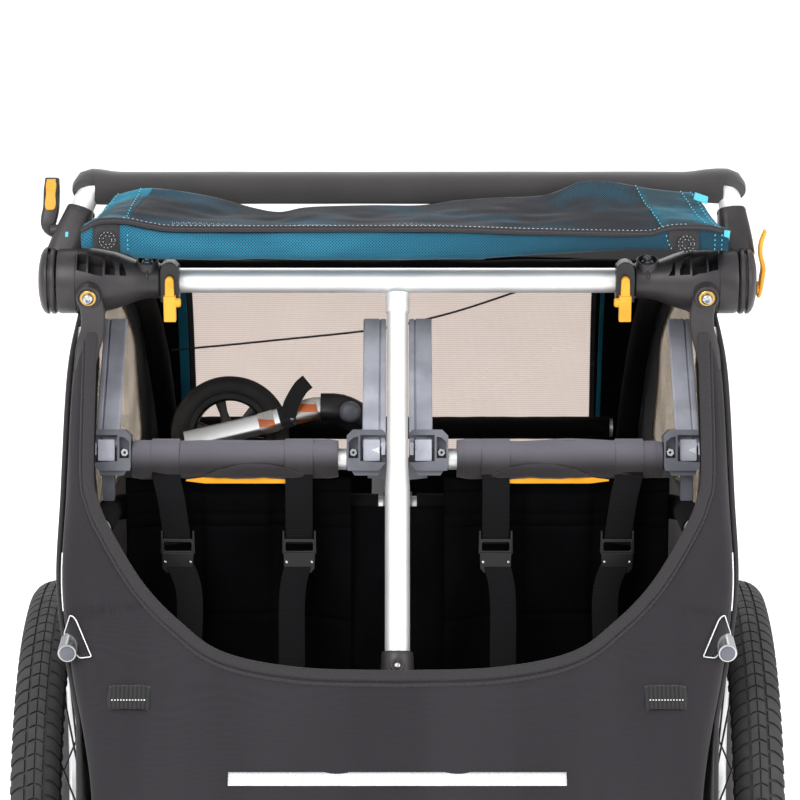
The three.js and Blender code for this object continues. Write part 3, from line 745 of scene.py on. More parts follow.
def flange_nut(place, radius):
    """A hexagon head on a round flange."""
    flange = turned(
        [(0, 0), (0, radius), (1.2, radius * 0.97), (2.6, radius * 0.72), (2.6, 0)],
        place(0, 0), facing(place), STEEL, segments=28,
    )
    head = plate(circle(radius * 0.66, 6), 2, 6.5, place, STEEL)
    return [flange, head]


def cage():
    for label, side in SIDES.items():
        upright = spline([
            (side * 316, 4, 799), (side * 320, -65, 663), (side * 318, -105, 584), (side * 301, -142, 516),
            (side * 290, -186, 440), (side * 277, -235, 345), (side * 271, -262, 282),
        ], 60)
        piece(f"upright_tube_{label}", [tube(upright, 11.2, ALUMINIUM_POST)], nodes=[f"upright_{label}"])
        piece(f"upright_sleeve_{label}", [tube_sleeve(upright[3:-2])])
        hoop = spline([
            (side * narrowed(x, y), y, z) for x, y, z in [
                (300, 58, 833), (300, 160, 817), (300, 290, 750), (299, 368, 640), (292, 392, 500),
                (277, 362, 340), (271, 345, 281),
            ]
        ], 70)
        piece(f"rear_hoop_tube_{label}", [tube(hoop, 11.2, ALUMINIUM_POST)], nodes=[f"rear_hoop_{label}"])
        piece(f"rear_hoop_sleeve_{label}", [tube_sleeve(hoop[3:-3])])


def tube_sleeve(path, radius=12.5):
    """A slightly wrinkled cloth sleeve round a tube."""
    scale = [1 + wobble(point, 24, 0.06, 3) for point in path]
    return tube(path, radius, BLACK_CLOTH, sides=28, scale=scale)


def base_loop():
    x, z, front, rear, bend = 270, 262, -405, 418, 60
    rear_x = narrowed(x, rear)
    loop = rounded([
        (0, rear, z), (rear_x, rear, z), (x, TAPER_FROM, z), (x, front, z),
        (-x, front, z), (-x, TAPER_FROM, z), (-rear_x, rear, z), (0, rear, z),
    ], bend, steps=10)
    piece("base_frame_tube", [tube(loop[:-1], 12.5, ALUMINIUM, closed=True)], nodes=["base_frame"])


def cross_tubes():
    for node in ("lap_crossbar", "rear_crossbar", "front_crossbar"):
        low, high = box_of(node)
        radius, centre = (high.z - low.z) / 2, (low + high) / 2
        path = evenly([Vector((low.x, centre.y, centre.z)), Vector((high.x, centre.y, centre.z))], 8)
        piece(f"{node}_tube", [tube(path, radius, ALUMINIUM, sides=40)], nodes=[node])


def centre_post():
    wide, slim = 12.6, 10.8
    taper = POST_LENGTH * 0.48
    head = POST_LENGTH - CROSSBAR_RADIUS - 0.4
    profile = [
        (13, 0), (13, wide), (taper, wide), (taper + 5, wide - 0.25), (taper + 13, (wide + slim) / 2),
        (taper + 21, slim + 0.25), (taper + 26, slim), (head, slim), (head, 0),
    ]
    post = turned(profile, POST_FOOT, POST_UP, ALUMINIUM_POST, segments=48)
    cap_at = POST_LENGTH - 34
    cap = turned(
        [(cap_at, slim + 0.1), (cap_at, slim + 1.1), (cap_at + 1, slim + 1.6), (head - 1, slim + 1.6),
         (head, slim + 0.1)],
        POST_FOOT, POST_UP, ALUMINIUM_POST, segments=48, closed=True,
    )
    piece("centre_post_tube", [post, cap], nodes=["centre_post"])


def post_foot():
    """The saddle that holds the post's foot on the lap crossbar, with its spring button."""
    saddle = turned(
        [(-22, 11.4), (-22, 14.6), (-20.5, 16), (-3, 16), (3, 16), (20.5, 16), (22, 14.6), (22, 11.4)],
        POST_FOOT, (1, 0, 0), BLACK_PLASTIC, segments=40, closed=True,
    )
    cup = turned(
        [(12, 13), (12, 17), (30, 16.2), (33.5, 15.6), (34.5, 14.6), (34.5, 13)],
        POST_FOOT, POST_UP, BLACK_PLASTIC, segments=40, closed=True,
    )
    front = plane(on_post(6, 0), (1, 0, 0), POST_UP)
    shoulders = plate(rounded_box(43, 15, 4), 2, 17.5, front, BLACK_PLASTIC)
    boss = turned([(15, 0), (15, 7.4), (17.6, 7.4), (18.6, 6.4), (18.6, 5), (16.8, 4.6), (16.8, 0)],
                  on_post(BUTTON_AT), POST_FRONT, BLACK_PLASTIC, segments=32)
    piece("post_saddle", [saddle, cup, shoulders, boss], nodes=["post_foot"], bevel=0.7)
    button = turned([(4, 0), (4, 3.4), (17.6, 3.4), (18.6, 2.6), (19, 1.4), (19, 0)],
                    on_post(BUTTON_AT), POST_FRONT, STEEL, segments=24)
    piece("spring_button", [button], body="post_button", nodes=["post_button"])


# ---------------------------------------------------------------- crossbar ends

def around_crossbar(x, angle, radius):
    """A place beside the crossbar's line. The angle is above straight ahead, in degrees."""
    turn = math.radians(angle)
    return Vector((x, CROSSBAR.y - radius * math.cos(turn), CROSSBAR.z + radius * math.sin(turn)))


def pocket(corners, low, high):
    """A cutter for a moulded pocket. The corners are (x, angle) pairs."""
    points = [around_crossbar(x, angle, low) for x, angle in corners]
    points += [around_crossbar(x, angle, high) for x, angle in corners]
    count = len(corners)
    faces = grid_faces(2, count, close_columns=True)
    return Shape(points, faces + [tuple(range(count)), tuple(range(count, 2 * count))], BLACK_PLASTIC)


def elbow(label, side):
    barrel = turned([
        (242, 0), (242, 16.8), (243.5, 18.2), (256, 18.6), (264, 20), (272, 23), (281, 26.6), (290, 29.6),
        (298, 31.7), (306, 33), (316, 33.3), (326.6, 33.3), (327.4, 34), (343, 34), (346.2, 33), (346.2, 0),
    ], CROSSBAR, (1, 0, 0), BLACK_PLASTIC, segments=96)
    casting = piece(f"elbow_casting_{label}", on_side(side, [barrel]), nodes=[f"elbow_{label}"])
    arch = [(297, 26), (297, 66), (293.5, 66), (290.5, 60), (288, 50), (286.8, 38), (286.6, 26)]
    pockets = [
        pocket([(325.4, 34), (325.4, 71), (315.6, 68), (315.6, 30)], 21, 50),
        pocket([(313.9, 29), (313.9, 67), (299, 58), (299, 23)], 19, 50),
        pocket(arch, 17, 50),
        pocket([(282, 26), (283, 60), (280.5, 60), (275.5, 26)], 16, 50),
    ]
    carve(casting, on_side(side, pockets))
    round_edges(casting, 0.9)

    ear_place = plane((side * 313, -20, 838), (1, 0, 0), (0, -0.163, 0.987))
    ear = turned([(-16, 0), (-16, 13), (-1, 13), (0.8, 12.2), (1.4, 10.4), (0.2, 9.2), (0.2, 0)],
                 ear_place(0, 0), ear_place(0, 0, 1) - ear_place(0, 0), BLACK_PLASTIC, segments=48)
    stem = sweep(
        spline([(side * 312, -15, 838), (side * 309, -15, 820), (side * 310, -14, 802),
                (side * 315, -17, 784),
                (side * 319, -25, 762)], 24),
        rounded_box(24, 8, 3), BLACK_PLASTIC, up=(0, -1, 0.1),
        scale=[1.02 - 0.12 * smooth_step(16, 23, i) for i in range(24)],
    )
    dish_place = plane((side * 255, CROSSBAR.y - 4.4, CROSSBAR.z + 17.6), (1, 0, 0), (0, 0.9701, 0.2425))
    dish_out = dish_place(0, 0, 1) - dish_place(0, 0)
    dish = turned([(-9, 0), (-9, 11.4), (5.4, 11.4), (6.2, 10.8), (5.8, 9.8), (2.6, 8.4), (2.6, 0)],
                  dish_place(0, 0), dish_out, BLACK_PLASTIC, segments=40)
    rib_path = [around_crossbar(side * 255, angle, 19.6) for angle in (20, 30, 40, 50)]
    rib = sweep(rib_path, rounded_box(2.2, 3, 0.8), BLACK_PLASTIC, up=(0, -1, 0.6))
    piece(f"elbow_bosses_{label}", [ear, stem, dish, rib], bevel=0.6)

    washer = turned([(0.2, 0), (0.2, 8.3), (1.2, 8.3), (1.7, 7.8), (1.7, 0)],
                    ear_place(0, 0), ear_place(0, 0, 1) - ear_place(0, 0), BRASS, segments=36)
    bolt_place = plane(ear_place(0, 0, 1.6), (1, 0, 0), (0, -0.163, 0.987))
    dish_centre = dish_place(0, 0)
    screw_place = plane(
        dish_place(0, 0, 2.6), dish_place(1, 0) - dish_centre, dish_place(0, 1) - dish_centre,
    )
    piece(f"cage_bolt_{label}", [washer, hex_screw(bolt_place, 6, 4.5), *flange_nut(screw_place, 6.6)])


def latch(label, side):
    """The crossbar's end collar and its yellow flip latch."""
    collar = turned([
        (222.6, 12.9), (222.6, 16.6), (224, 17.6), (241, 17.6), (242.4, 17), (242.4, 12.9),
    ], CROSSBAR, (1, 0, 0), SATIN_BLACK, segments=48, closed=True)
    arch = [(-9.4, -17), (9.4, -17), (9.4, 16)] + [
        (9.4 * math.cos(a), 16 + 9.4 * math.sin(a)) for a in [math.pi * i / 12 for i in range(1, 12)]
    ] + [(-9.4, 16)]
    tower = plate(arch, 7, 24, plane((231.5, CROSSBAR.y, CROSSBAR.z), (1, 0, 0), (0, 0, 1)), SATIN_BLACK)
    piece(f"latch_collar_{label}", on_side(side, [collar, tower]), bevel=0.9)

    face = plane((231.5, CROSSBAR.y - 24.2, CROSSBAR.z), (1, 0, 0), (0, 0, 1))
    top = [(-4.7, -9), (4.7, -9), (4.4, 4)] + [
        (4.4 * math.cos(a), 6 + 5.5 * math.sin(a)) for a in [math.pi * i / 10 for i in range(1, 10)]
    ] + [(-4.4, 4)]
    stalk = plate(top, 0, 6.4, face, YELLOW_PLASTIC)
    block = plate([(-6.2, -35.5), (6.2, -35.5), (6.2, -8.6), (-6.2, -8.6)], -1.5, 7.4, face, YELLOW_PLASTIC)
    nub = turned([(-11.2, 0), (-11.2, 3.4), (-10.4, 4.6), (-5, 5), (-5, 0)], face(0, -16, 3), (1, 0, 0),
                 YELLOW_PLASTIC, segments=24)
    piece(f"latch_flip_lever_{label}", on_side(side, [stalk, block, nub]), body=f"latch_{label}",
          nodes=[f"latch_lever_{label}"], bevel=0.9)


# ---------------------------------------------------------------- handlebar

def on_arm(side, share):
    low = Vector((side * ARM_X["low"], CROSSBAR.y, CROSSBAR.z))
    return low.lerp(Vector((side * ARM_X["high"] + BOW_LEAN, GRIP_BAR.y, GRIP_BAR.z)), share)


def knuckle(label, side):
    disc = turned([
        (348, 0), (348, 33), (349.5, 34.4), (352.6, 34.4), (353.2, 33.6), (353.2, 30.6), (355.8, 30.6),
        (355.8, 33.8), (356.4, 34.4), (358.6, 34.1), (361.2, 32), (363.6, 27.5), (365.6, 19), (366.4, 9),
        (366.5, 0),
    ], CROSSBAR, (1, 0, 0), BLACK_PLASTIC, segments=96)
    arm_up = (on_arm(side, 1) - on_arm(side, 0)).normalized()
    path = [on_arm(side, share) for share in (0.25, 0.4, 0.55, 0.68, 0.735, 0.76)]
    section = rounded_box(38, 36, 11, steps=5)
    socket = sweep(path, section, BLACK_PLASTIC, scale=[1, 0.97, 0.9, 0.82, 0.79, 0.74], up=(1, 0, 0))
    neck = sweep(
        [Vector((side * 351, CROSSBAR.y + 5, CROSSBAR.z + 4)), on_arm(side, 0.3), on_arm(side, 0.5)],
        rounded_box(30, 32, 9), BLACK_PLASTIC, up=(1, 0, 0),
    )
    lip = turned([(0, 12.3), (0, 14.2), (-2.2, 15.2), (-4, 15.2), (-4, 12.3)], on_arm(side, 0.765), arm_up,
                 BLACK_PLASTIC, segments=36, closed=True)
    piece(f"knuckle_{label}", [disc.on_side(side), socket, neck, lip], body="handlebar",
          nodes=[f"handlebar_knuckle_{label}"], bevel=0.8)


def handlebar():
    path = rounded([on_arm(-1, 0.5), on_arm(-1, 1), on_arm(1, 1), on_arm(1, 0.5)], HANDLEBAR_BEND, steps=10)
    tube_path = evenly(path, 120)
    piece("handlebar_bow", [tube(tube_path, ARM_RADIUS, ALUMINIUM_BOW, sides=36)], body="handlebar",
          nodes=["handlebar_tube"])
    corners = [on_arm(side, 1) + FOAM_RISE for side in (-1, 1)]
    soft = rounded([corners[0] + FOAM_MOUTH, *corners, corners[1] + FOAM_MOUTH], 4.5, steps=12)
    foam_path = [
        p - FOAM_RISE * smooth_step(ARM_X["high"] - 8, ARM_X["high"] - 36, abs(p.x))
        for p in evenly(soft, 220)
    ]
    travelled = lengths_along(foam_path)
    scale = []
    for place, run in zip(foam_path, travelled):
        from_end = min(run, travelled[-1] - run)
        bulge = 0.1 * smooth_step(42, 14, from_end) - 0.05 * smooth_step(5, 0, from_end)
        scale.append(1 + wobble(place, 70, 0.018) + bulge)
    piece("foam_grip", [tube(foam_path, 16.6, FOAM, sides=40, scale=scale)], body="handlebar",
          nodes=["handlebar_grip"], bevel=1.5)


def brake_lever():
    """The parking-brake lever beside the right-hand arm, with a ribbed yellow pad."""
    foot = on_arm(-1, 0.64) + Vector((-27, -4, 2))
    tip = on_arm(-1, 1.14) + Vector((-43, -6, -3))
    spine = spline([foot + Vector((9, 2, -16)), foot + Vector((-2, -1, -6)), foot.lerp(tip, 0.3),
                    foot.lerp(tip, 0.7), tip], 26)
    section = rounded_box(16.6, 13, 4)
    scale = [0.75 + 0.25 * smooth_step(0, 10, i) - 0.12 * smooth_step(20, 25, i) for i in range(len(spine))]
    body = sweep(spine, section, BLACK_PLASTIC, scale=scale, up=(0, -1, 0.4))
    pad_face = plane(foot.lerp(tip, 0.55), (1, 0, 0.02), tip - foot)
    length = (tip - foot).length
    outline = []
    half = length * 0.36
    for i in range(40):
        angle = 2 * math.pi * i / 40
        up = half * math.copysign(abs(math.sin(angle)) ** 0.45, math.sin(angle))
        waist = 1 - 0.2 * math.exp(-((up - 2) / 6) ** 2)
        outline.append((5.6 * waist * math.copysign(abs(math.cos(angle)) ** 0.4, math.cos(angle)), up))
    towards = 1 if (pad_face(0, 0, 1) - pad_face(0, 0)).y < 0 else -1
    pad = plate(outline, 5 * towards, 9.4 * towards, pad_face, YELLOW_PLASTIC)
    ribs = [
        sweep([pad_face(-4.6, half * 0.34 + 2.6 * i, 9.3 * towards),
               pad_face(4.6, half * 0.34 + 2.6 * i, 9.3 * towards)],
              circle(0.8, 8), YELLOW_PLASTIC)
        for i in range(5)
    ]
    pivot = turned([(-9, 0), (-9, 6), (9, 6), (9, 0)], on_arm(-1, 0.56) + Vector((-15, -8, 0)), (1, 0, 0),
                   BLACK_PLASTIC, segments=24)
    piece("brake_lever_blade", [body, pivot, pad, *ribs], body="brake_lever", nodes=["brake_lever"],
          bevel=0.6)


def adjusting_lever():
    """The yellow lever that frees the handlebar to tilt, curved to follow the knuckle."""
    z, y = CROSSBAR.z, CROSSBAR.y
    path = spline([
        (369.6, y, z - 17), (371.4, y, z - 8), (372.6, y, z + 2), (373.6, y, z + 14), (370.4, y, z + 28),
        (370.8, y, z + 40), (374.8, y, z + 53),
    ], 40)
    widths = [interpolate([(0, 0.75), (6, 0.98), (20, 1.0), (30, 0.8), (39, 0.62)], i) for i in range(40)]
    blade = sweep(path, rounded_box(4.4, 16, 1.6), YELLOW_PLASTIC, scale=widths, up=(0, -1, 0))
    pivot = turned([(367.6, 0), (367.6, 7), (370.6, 7), (371.6, 6), (371.6, 0)], (0, y, z - 8), (1, 0, 0),
                   YELLOW_PLASTIC, segments=28)
    piece("adjusting_lever", [blade, pivot], body="adjust_lever", nodes=["adjust_lever"],
          bevel=0.4)
    knob = turned([(-4, 0), (-4, 6), (3, 6.4), (6, 5.2), (7, 3), (7, 0)], on_arm(1, 0.62)
                  + Vector((9, 0, 0)), (1, 0, 0.2),
                  BLACK_PLASTIC, segments=28)
    piece("lock_knob", [knob], body="handlebar")


# ---------------------------------------------------------------- cloth body

FRONT_LINE = [(0, 830), (-84, 670), (-172, 512), (-312, 395), (-418, 290), (-456, 215), (-440, 160)]
HALF_WIDTH = [
    (318, 822), (330, 760), (335, 650), (338, 565), (325, 495), (298, 409), (288, 300), (280, 200),
    (270, 150),
]
OPENING_RIM = [
    (0, 499.5), (98, 502), (174, 514), (218, 539), (256, 573), (289, 621), (302, 648), (307.5, 680),
    (306, 812),
]
APRON_TOP, APRON_BOTTOM = 808, 160
EDGE_RADIUS = 14


def height_table(pairs):
    """A table of (height, measure) pairs from an outline of (measure, height) points that runs down."""
    line = spline([(a, b, 0) for a, b in pairs], 90)
    return sorted((p.y, p.x) for p in line)


FRONT_Y = height_table(FRONT_LINE)
EDGE_X = height_table(HALF_WIDTH)


def front_y(z):
    return interpolate(FRONT_Y, z)


def edge_x(z):
    return interpolate(EDGE_X, z)


def on_front(x, z, proud=0.0):
    """A place on the front cover, proud millimetres in front of it."""
    step = 4
    slope = (front_y(z + step) - front_y(z - step)) / (2 * step)
    normal = Vector((0, -1, slope)).normalized()
    inset = max(0.0, EDGE_RADIUS - (edge_x(z) - abs(x)))
    turn = EDGE_RADIUS - math.sqrt(max(0.0, EDGE_RADIUS ** 2 - min(inset, EDGE_RADIUS) ** 2))
    return Vector((x, front_y(z) + turn, z)) + normal * proud


def front_normal(z):
    step = 4
    return Vector((0, -1, (front_y(z + step) - front_y(z - step)) / (2 * step))).normalized()


def part_of(path, share):
    """The place at a share of an evenly spaced path."""
    along = min(max(share, 0), 1) * (len(path) - 1)
    index = min(int(along), len(path) - 2)
    return path[index].lerp(path[index + 1], along - index)


def rim_curve(count=120):
    half = [p for p in spline([(x, z, 0) for x, z in OPENING_RIM], 300) if p.y <= APRON_TOP]
    return evenly(half, count)


def apron():
    rim = rim_curve()
    corner = 0.5
    foot = [Vector((271 * i / 40, APRON_BOTTOM, 0)) for i in range(41)]
    heights = [APRON_BOTTOM + (APRON_TOP - APRON_BOTTOM) * i / 80 for i in range(81)]
    flank = evenly([Vector((edge_x(z), z, 0)) for z in heights], 120)

    def rule(u, v):
        side = -1 if u < 0.5 else 1
        s = abs(2 * u - 1)
        inner = part_of(rim, s)
        outer = part_of(foot, s / corner) if s < corner else part_of(flank, (s - corner) / (1 - corner))
        place = inner.lerp(outer, v)
        crease = 2.2 * math.sin(place.x / 23 + place.y / 60) * smooth_step(0.5, 1.0, abs(place.x) / 320)
        pull = smooth_step(0, 0.12, v) * smooth_step(1, 0.8, v)
        proud = pull * (wobble((place.x, place.y, 0), 90, 3.0)
                        + 0.35 * crease * smooth_step(620, 420, place.y))
        ditch = math.exp(-((place.y - seam_height(abs(place.x))) / 1.6) ** 2)
        seam = ditch * smooth_step(236, 252, abs(place.x))
        return on_front(side * abs(place.x), place.y, proud - 1.1 * seam)

    cloth = surface(rule, 261, 90, APRON_CLOTH, flat=(1500, 420))
    for index, point in enumerate(cloth.points):
        cloth.uv[index] = (point.x * MM, (point.z - point.y) * MM * 0.75)
    made = piece("front_apron", [cloth], nodes=["apron"], thickness=1.6,
                 outward=False)


def seam_height(x):
    """The apron's cross seam rises towards the opening."""
    return 546 + (319 - x) * 0.115


def mirrored_run(half):
    """A run from the right-hand side to the left-hand side, from its left-hand half."""
    return [Vector((-p.x, p.y, p.z)) for p in reversed(half[1:])] + half


def opening_trim():
    """The binding tape round the opening, with a corded edge outside it and a thin dark thread between them
    that paints the shadow of the gap.
    """
    rim = rim_curve(150)
    outward = []
    for i in range(len(rim)):
        ahead = rim[min(i + 1, len(rim) - 1)] - rim[max(i - 1, 0)]
        outward.append(Vector((ahead.y, -ahead.x, 0)).normalized())

    def run(offset, proud):
        return mirrored_run([
            on_front((p + n * offset).x, (p + n * offset).y, proud) for p, n in zip(rim, outward)
        ])

    tape_path, edge_path = run(4.6, 1.0), run(12.2, 0.7)
    ups = [front_normal(p.z) for p in tape_path]
    tape = sweep(tape_path, rounded_box(11.5, 4.2, 2.0), BINDING, up=ups)
    cord = piping(edge_path, 1.25, BINDING)
    # Painted shadow: a thin dark thread tube where the gap between tape and cord lies in shade.
    ditch = piping(run(10.9, 0.2), 0.5, THREAD_DARK)
    piece("opening_binding", [tape, cord, ditch])
    sewn = [stitches(run(offset, 3.2), THREAD_DARK, 3, 1.6, 0.3) for offset in (1.2, 8.2)]
    piece("opening_stitches", sewn)


def webbing_loop(label, side):
    """A flat loop for a flag or a light, with one row of reflective dashes."""
    centre_x, z_top, z_low = side * 266, 487, 470
    half = 21

    def rule(u, v):
        x = centre_x + (2 * u - 1) * half
        z = z_top + (z_low - z_top) * v
        raised = 3.6 * smooth_step(0, 0.14, u) * smooth_step(1, 0.86, u)
        return on_front(x, z, 0.9 + raised + 0.5 * math.sin(v * math.pi))

    band = surface(rule, 31, 9, WEBBING, flat=(17, 42))
    dashes = []
    count = 12
    for i in range(count):
        x = centre_x - half + 5 + i * (2 * half - 10) / (count - 1)
        start, end = on_front(x - 0.7, 475.6, 5.7), on_front(x + 0.7, 475.6, 5.7)
        dashes.append(sweep([start, end], rounded_box(1.4, 0.7, 0.3), REFLECTIVE, up=front_normal(475)))
    bars = [
        stitches([on_front(centre_x + sign * (half - 2 - k * 1.4), z, 3.4) for z in (z_low + 1, z_top - 1)],
                 THREAD_DARK, 2, 0.6, 0.35)
        for sign in (-1, 1) for k in (0, 1)
    ]
    piece(f"webbing_loop_{label}", [band], thickness=1.5, outward=False)
    piece(f"webbing_loop_trim_{label}", [*dashes, *bars])


def reflective_bar():
    """A plain reflective strip across the apron."""
    def rule(u, v):
        return on_front(-165 + 330 * u, 428 - 9 * v, 1.0 + 0.3 * math.sin(math.pi * v))

    strip = surface(rule, 60, 7, REFLECTIVE, flat=(330, 9))
    piece("reflective_strip", [strip], thickness=0.5, outward=False)


def rail_plug(label, side):
    """The guard rail's front end: a silver tube mouth with a grey plug, in a piped three-cornered hole."""
    low, high = box_of(f"guard_rail_{label}")
    centre = (low + high) / 2
    radius = (high.x - low.x) / 2
    mouth = turned([
        (low.y, 7.6), (low.y + 0.2, 8.9), (low.y + 1, radius), (high.y, radius), (high.y, 7.6),
    ], (centre.x, 0, centre.z), (0, 1, 0), STEEL, segments=40, closed=True)
    plug = turned([
        (low.y + 6, 0), (low.y + 6, 7.5), (low.y - 0.6, 7.5), (low.y - 1.8, 6.6), (low.y - 2.4, 4),
        (low.y - 2.6, 0),
    ], (centre.x, 0, centre.z), (0, 1, 0), GREY_PLASTIC, segments=40)
    piece(f"guard_rail_tube_{label}", [mouth, plug], nodes=[f"guard_rail_{label}"])

    corners = [(-1, 25.5), (-11, 6), (-9.5, -3), (3, -9.5), (15, -8.5), (11, 4), (5, 22), (2, 25.5)]
    ring = [
        on_front(side * (edge_x(centre.z + up) - 9 - across), centre.z + up, 2.2) for across, up in corners
    ]
    smooth = rounded(ring + ring[:1], 2.2, steps=4)
    band = sweep(smooth[:-1], rounded_box(1.2, 3.4, 0.5), REFLECTIVE, closed=True, up=(0, -1, 0.4))
    middle_point = sum(ring, Vector()) / len(ring)
    net_points = [middle_point + Vector((0, 3, 0)), *[p + Vector((0, 2.4, 0)) for p in ring]]
    net = Shape(net_points, [(0, i + 1, (i + 1) % len(ring) + 1) for i in range(len(ring))], DARK_NET)
    piece(f"rail_hole_{label}", [band, net])
    heights = [545 + 4 * i for i in range(14)]
    line = [on_front(side * (edge_x(z) - 0.6), z, 0.5) for z in heights]
    piece(f"edge_piping_{label}", [piping(line, 0.9, REFLECTIVE)])


# The body's side and rear, as heights and places along Y.
REAR_OUTLINE = [
    (139, 378), (160, 424), (240, 450), (330, 453), (480, 446), (600, 423), (712, 394), (792, 343),
    (828, 252), (848, 150),
]


def ray_outline(outline, centre, count):
    """Where evenly turned rays from a centre cross an outline of (a, b) points."""
    result = []
    for i in range(count):
        angle = 2 * math.pi * i / count
        ray = Vector((math.cos(angle), math.sin(angle)))
        best = None
        for (ax, ay), (bx, by) in zip(outline, [*outline[1:], outline[0]]):
            start, edge = Vector((ax - centre[0], ay - centre[1])), Vector((bx - ax, by - ay))
            cross = ray.x * edge.y - ray.y * edge.x
            if abs(cross) < 1e-9:
                continue
            reach = (start.x * edge.y - start.y * edge.x) / cross
            share = (start.x * ray.y - start.y * ray.x) / cross
            if reach > 0 and -1e-6 <= share <= 1 + 1e-6:
                best = reach if best is None else max(best, reach)
        result.append((centre[0] + ray.x * best, centre[1] + ray.y * best))
    return result


def ring_sheet(inner, outer, rows, place, finish):
    """Cloth between a hole's outline and an outer outline that have the same number of points."""
    count = len(inner)
    points, uv = [], []
    for row in range(rows):
        share = row / (rows - 1)
        for (ax, ay), (bx, by) in zip(inner, outer):
            a, b = ax + (bx - ax) * share, ay + (by - ay) * share
            points.append(place(a, b))
            uv.append((a * MM, b * MM))
    return Shape(points, grid_faces(rows, count, close_columns=True), finish, uv)


def disc_sheet(outline, rows, place, finish, centre):
    """Cloth filling an outline."""
    inner = [(centre[0] + (a - centre[0]) * 0.02, centre[1] + (b - centre[1]) * 0.02) for a, b in outline]
    shape = ring_sheet(inner, outline, rows, place, finish)
    shape.faces.append(tuple(range(len(outline))))
    return shape


def turned_towards(shape, direction):
    """Turns a sheet over if it faces away from a direction."""
    a, b, c = (shape.points[i] for i in shape.faces[len(shape.faces) // 2][:3])
    if (b - a).cross(c - a).dot(Vector(direction)) < 0:
        shape.faces = [tuple(reversed(face)) for face in shape.faces]
    return shape


def flat_half(z):
    """Half the body's width at a height, where its sides are flat."""
    return interpolate([(120, 288), (500, 317), (900, 317)], z)


def side_place(y, z):
    """The left-hand side cloth, which leaves the apron's edge and lies against the frame."""
    flat = flat_half(z)
    front = front_y(min(z, 806)) + EDGE_RADIUS
    near_front = smooth_step(front + 150, front + 20, y)
    x = flat + (max(edge_x(z), flat) - flat) * near_front
    bow = 4 * math.sin(math.pi * min(max((y + 300) / 700, 0), 1))
    ripple = wobble((0, y, z), 60, 2.4, 7) * smooth_step(0, 30, y - front)
    return Vector((narrowed(x + bow + ripple, y), y, z))


def side_cloth(label, side):
    heights = [APRON_BOTTOM - 8 + (806 - APRON_BOTTOM + 8) * i / 60 for i in range(61)]
    front = [(front_y(z) + EDGE_RADIUS, z) for z in heights]
    top = [(44, 822), (66, 842), (110, 846)]
    rear = [(y, z) for z, y in reversed(REAR_OUTLINE)]
    foot = [(200, 141), (0, 141), (-200, 141), (-400, 143)]
    outline = front + top + rear + foot
    centre = (170, 640)
    window = [(68, 560), (90, 770), (250, 770), (318, 700), (352, 560)]
    window = [(p.x, p.y) for p in rounded([(a, b, 0) for a, b in [*window, *window[:2]]], 22, steps=6)][1:-1]
    count = 300
    hole = ray_outline(window, centre, count)
    cloth = ring_sheet(hole, ray_outline(outline, centre, count), 60, side_place, APRON_CLOTH)
    cloth = turned_towards(cloth, (1, 0, 0))
    made = piece(f"side_cloth_{label}", [cloth.on_side(side)], nodes=[f"side_panel_{label}"],
                 thickness=1.6, outward=False)
    pane = turned_towards(disc_sheet(hole, 24, lambda y, z: side_place(y, z) - Vector((1.2, 0, 0)),
                                     SIDE_VINYL, centre),
                          (1, 0, 0))
    glazed = piece(f"side_window_{label}", [pane.on_side(side)], thickness=0.8,
                   outward=False)
    border = [side_place(y, z) + Vector((0.8, 0, 0)) for y, z in hole]
    edge = sweep(border, rounded_box(9, 3, 1.4), BINDING, closed=True, up=(1, 0, 0))
    lip = [side_place(y, z) + Vector((0.6, 0, 0)) for y, z in ray_outline(outline, centre, count)]
    hem = sweep(lip, circle(2.2, 10), BINDING, closed=True)
    inset = [side_place(y, z) + Vector((2.6, 0, 0)) for y, z in ray_outline(
        [(centre[0] + (y - centre[0]) * 1.045, centre[1] + (z - centre[1]) * 1.06) for y, z in hole],
        centre, count)]
    seam = stitches(inset + inset[:1], THREAD_DARK, 3.4, 2, 0.4)
    piece(f"side_bindings_{label}", on_side(side, [edge, hem, seam]))


REAR_LINE = height_table([(452, 320), (449, 336), (444, 480), (420, 602), (390, 716), (340, 797)])


def rear_line_y(z):
    return interpolate(REAR_LINE, z)


def rear_place(x, z):
    """The rear cloth, bowed a little outwards between the side panels."""
    bow = 6 * (1 - (x / 250) ** 2) * math.sin(math.pi * min(max((z - 300) / 500, 0), 1))
    return Vector((x, rear_line_y(z) + bow + wobble((x, 0, z), 80, 2.0, 3), z))


